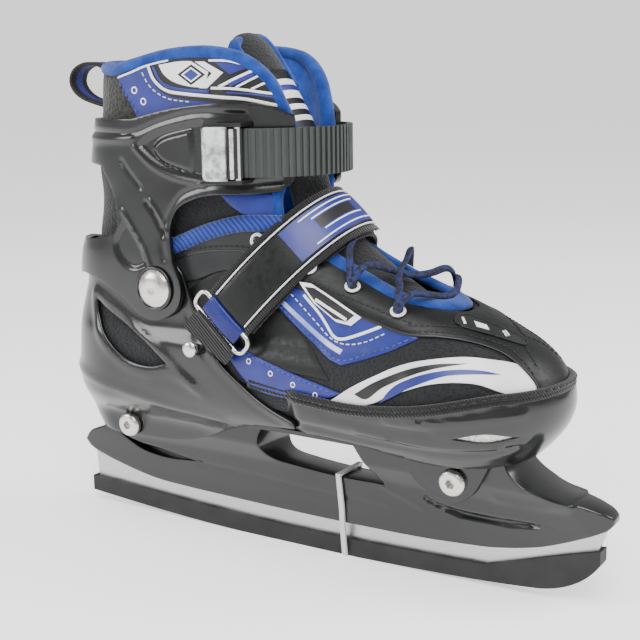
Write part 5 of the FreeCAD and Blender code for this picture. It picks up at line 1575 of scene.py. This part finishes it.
# ---------------------------------------------------------------- room, light and camera
SOFTBOXES = (
    ((0.5, -0.9, 1.1), 0.7, 16),
    ((-0.9, -0.9, 0.6), 0.5, 8),
    ((0.9, 0.5, 0.8), 0.6, 9),
    ((0.1, -0.4, 1.4), 0.9, 12),
)
LIGHT_TARGET = Vector((0, 0, 0.12))
CAMERA_AIM = Vector((1.71, 0.0, 113.09))
CAMERA_TURN, CAMERA_RISE, CAMERA_ROLL = math.radians(31.96), math.radians(11.62), math.radians(-0.8)
CAMERA_AWAY, CAMERA_LENS = 581.38, 69.3


def build_room():
    """White floor and surroundings with four soft boxes."""
    bpy.ops.mesh.primitive_plane_add(size=60.0, location=(0, 0, 0))
    floor = bpy.context.object
    floor.name = "floor"
    paper = bpy.data.materials.new("paper")
    paper.use_nodes = True
    surface = paper.node_tree.nodes["Principled BSDF"]
    surface.inputs["Base Color"].default_value = (0.9, 0.9, 0.9, 1)
    surface.inputs["Roughness"].default_value = 0.8
    surface.inputs["Emission Color"].default_value = (1, 1, 1, 1)
    surface.inputs["Emission Strength"].default_value = 0.8
    floor.data.materials.append(paper)
    world = bpy.data.worlds.new("studio")
    world.use_nodes = True
    tree = world.node_tree
    tree.nodes["Background"].inputs["Strength"].default_value = 0.55
    white = tree.nodes.new("ShaderNodeBackground")
    white.inputs["Color"].default_value = (1, 1, 1, 1)
    white.inputs["Strength"].default_value = 1.3
    tree.nodes["Background"].inputs["Color"].default_value = (1, 1, 1, 1)
    seen, mix = tree.nodes.new("ShaderNodeLightPath"), tree.nodes.new("ShaderNodeMixShader")
    tree.links.new(seen.outputs["Is Camera Ray"], mix.inputs["Fac"])
    tree.links.new(tree.nodes["Background"].outputs[0], mix.inputs[1])
    tree.links.new(white.outputs[0], mix.inputs[2])
    tree.links.new(mix.outputs[0], tree.nodes["World Output"].inputs["Surface"])
    bpy.context.scene.world = world
    for place, size, power in SOFTBOXES:
        lamp = bpy.data.objects.new("softbox", bpy.data.lights.new("softbox", "AREA"))
        lamp.data.shape = "SQUARE"
        lamp.data.size = size
        lamp.data.energy = power
        lamp.location = place
        lamp.rotation_euler = (LIGHT_TARGET - Vector(place)).to_track_quat("-Z", "Y").to_euler()
        bpy.context.scene.collection.objects.link(lamp)


def build_camera():
    """Camera fitted to the photograph."""
    level = math.cos(CAMERA_RISE)
    back = Vector((math.sin(CAMERA_TURN) * level, -math.cos(CAMERA_TURN) * level, math.sin(CAMERA_RISE)))
    right = (-back).cross(Vector((0, 0, 1))).normalized()
    up = right.cross(-back)
    side = right * math.cos(CAMERA_ROLL) + up * math.sin(CAMERA_ROLL)
    top = up * math.cos(CAMERA_ROLL) - right * math.sin(CAMERA_ROLL)
    camera = bpy.data.objects.new("camera", bpy.data.cameras.new("camera"))
    camera.data.lens = CAMERA_LENS
    camera.data.sensor_width = 36.0
    bpy.context.scene.collection.objects.link(camera)
    place = CAMERA_AIM * MM + back * (CAMERA_AWAY * MM)
    camera.matrix_world = Matrix.Translation(place) @ Matrix((side, top, back)).transposed().to_4x4()
    bpy.context.scene.camera = camera


build_room()
build_camera()
bpy.context.view_layer.update()
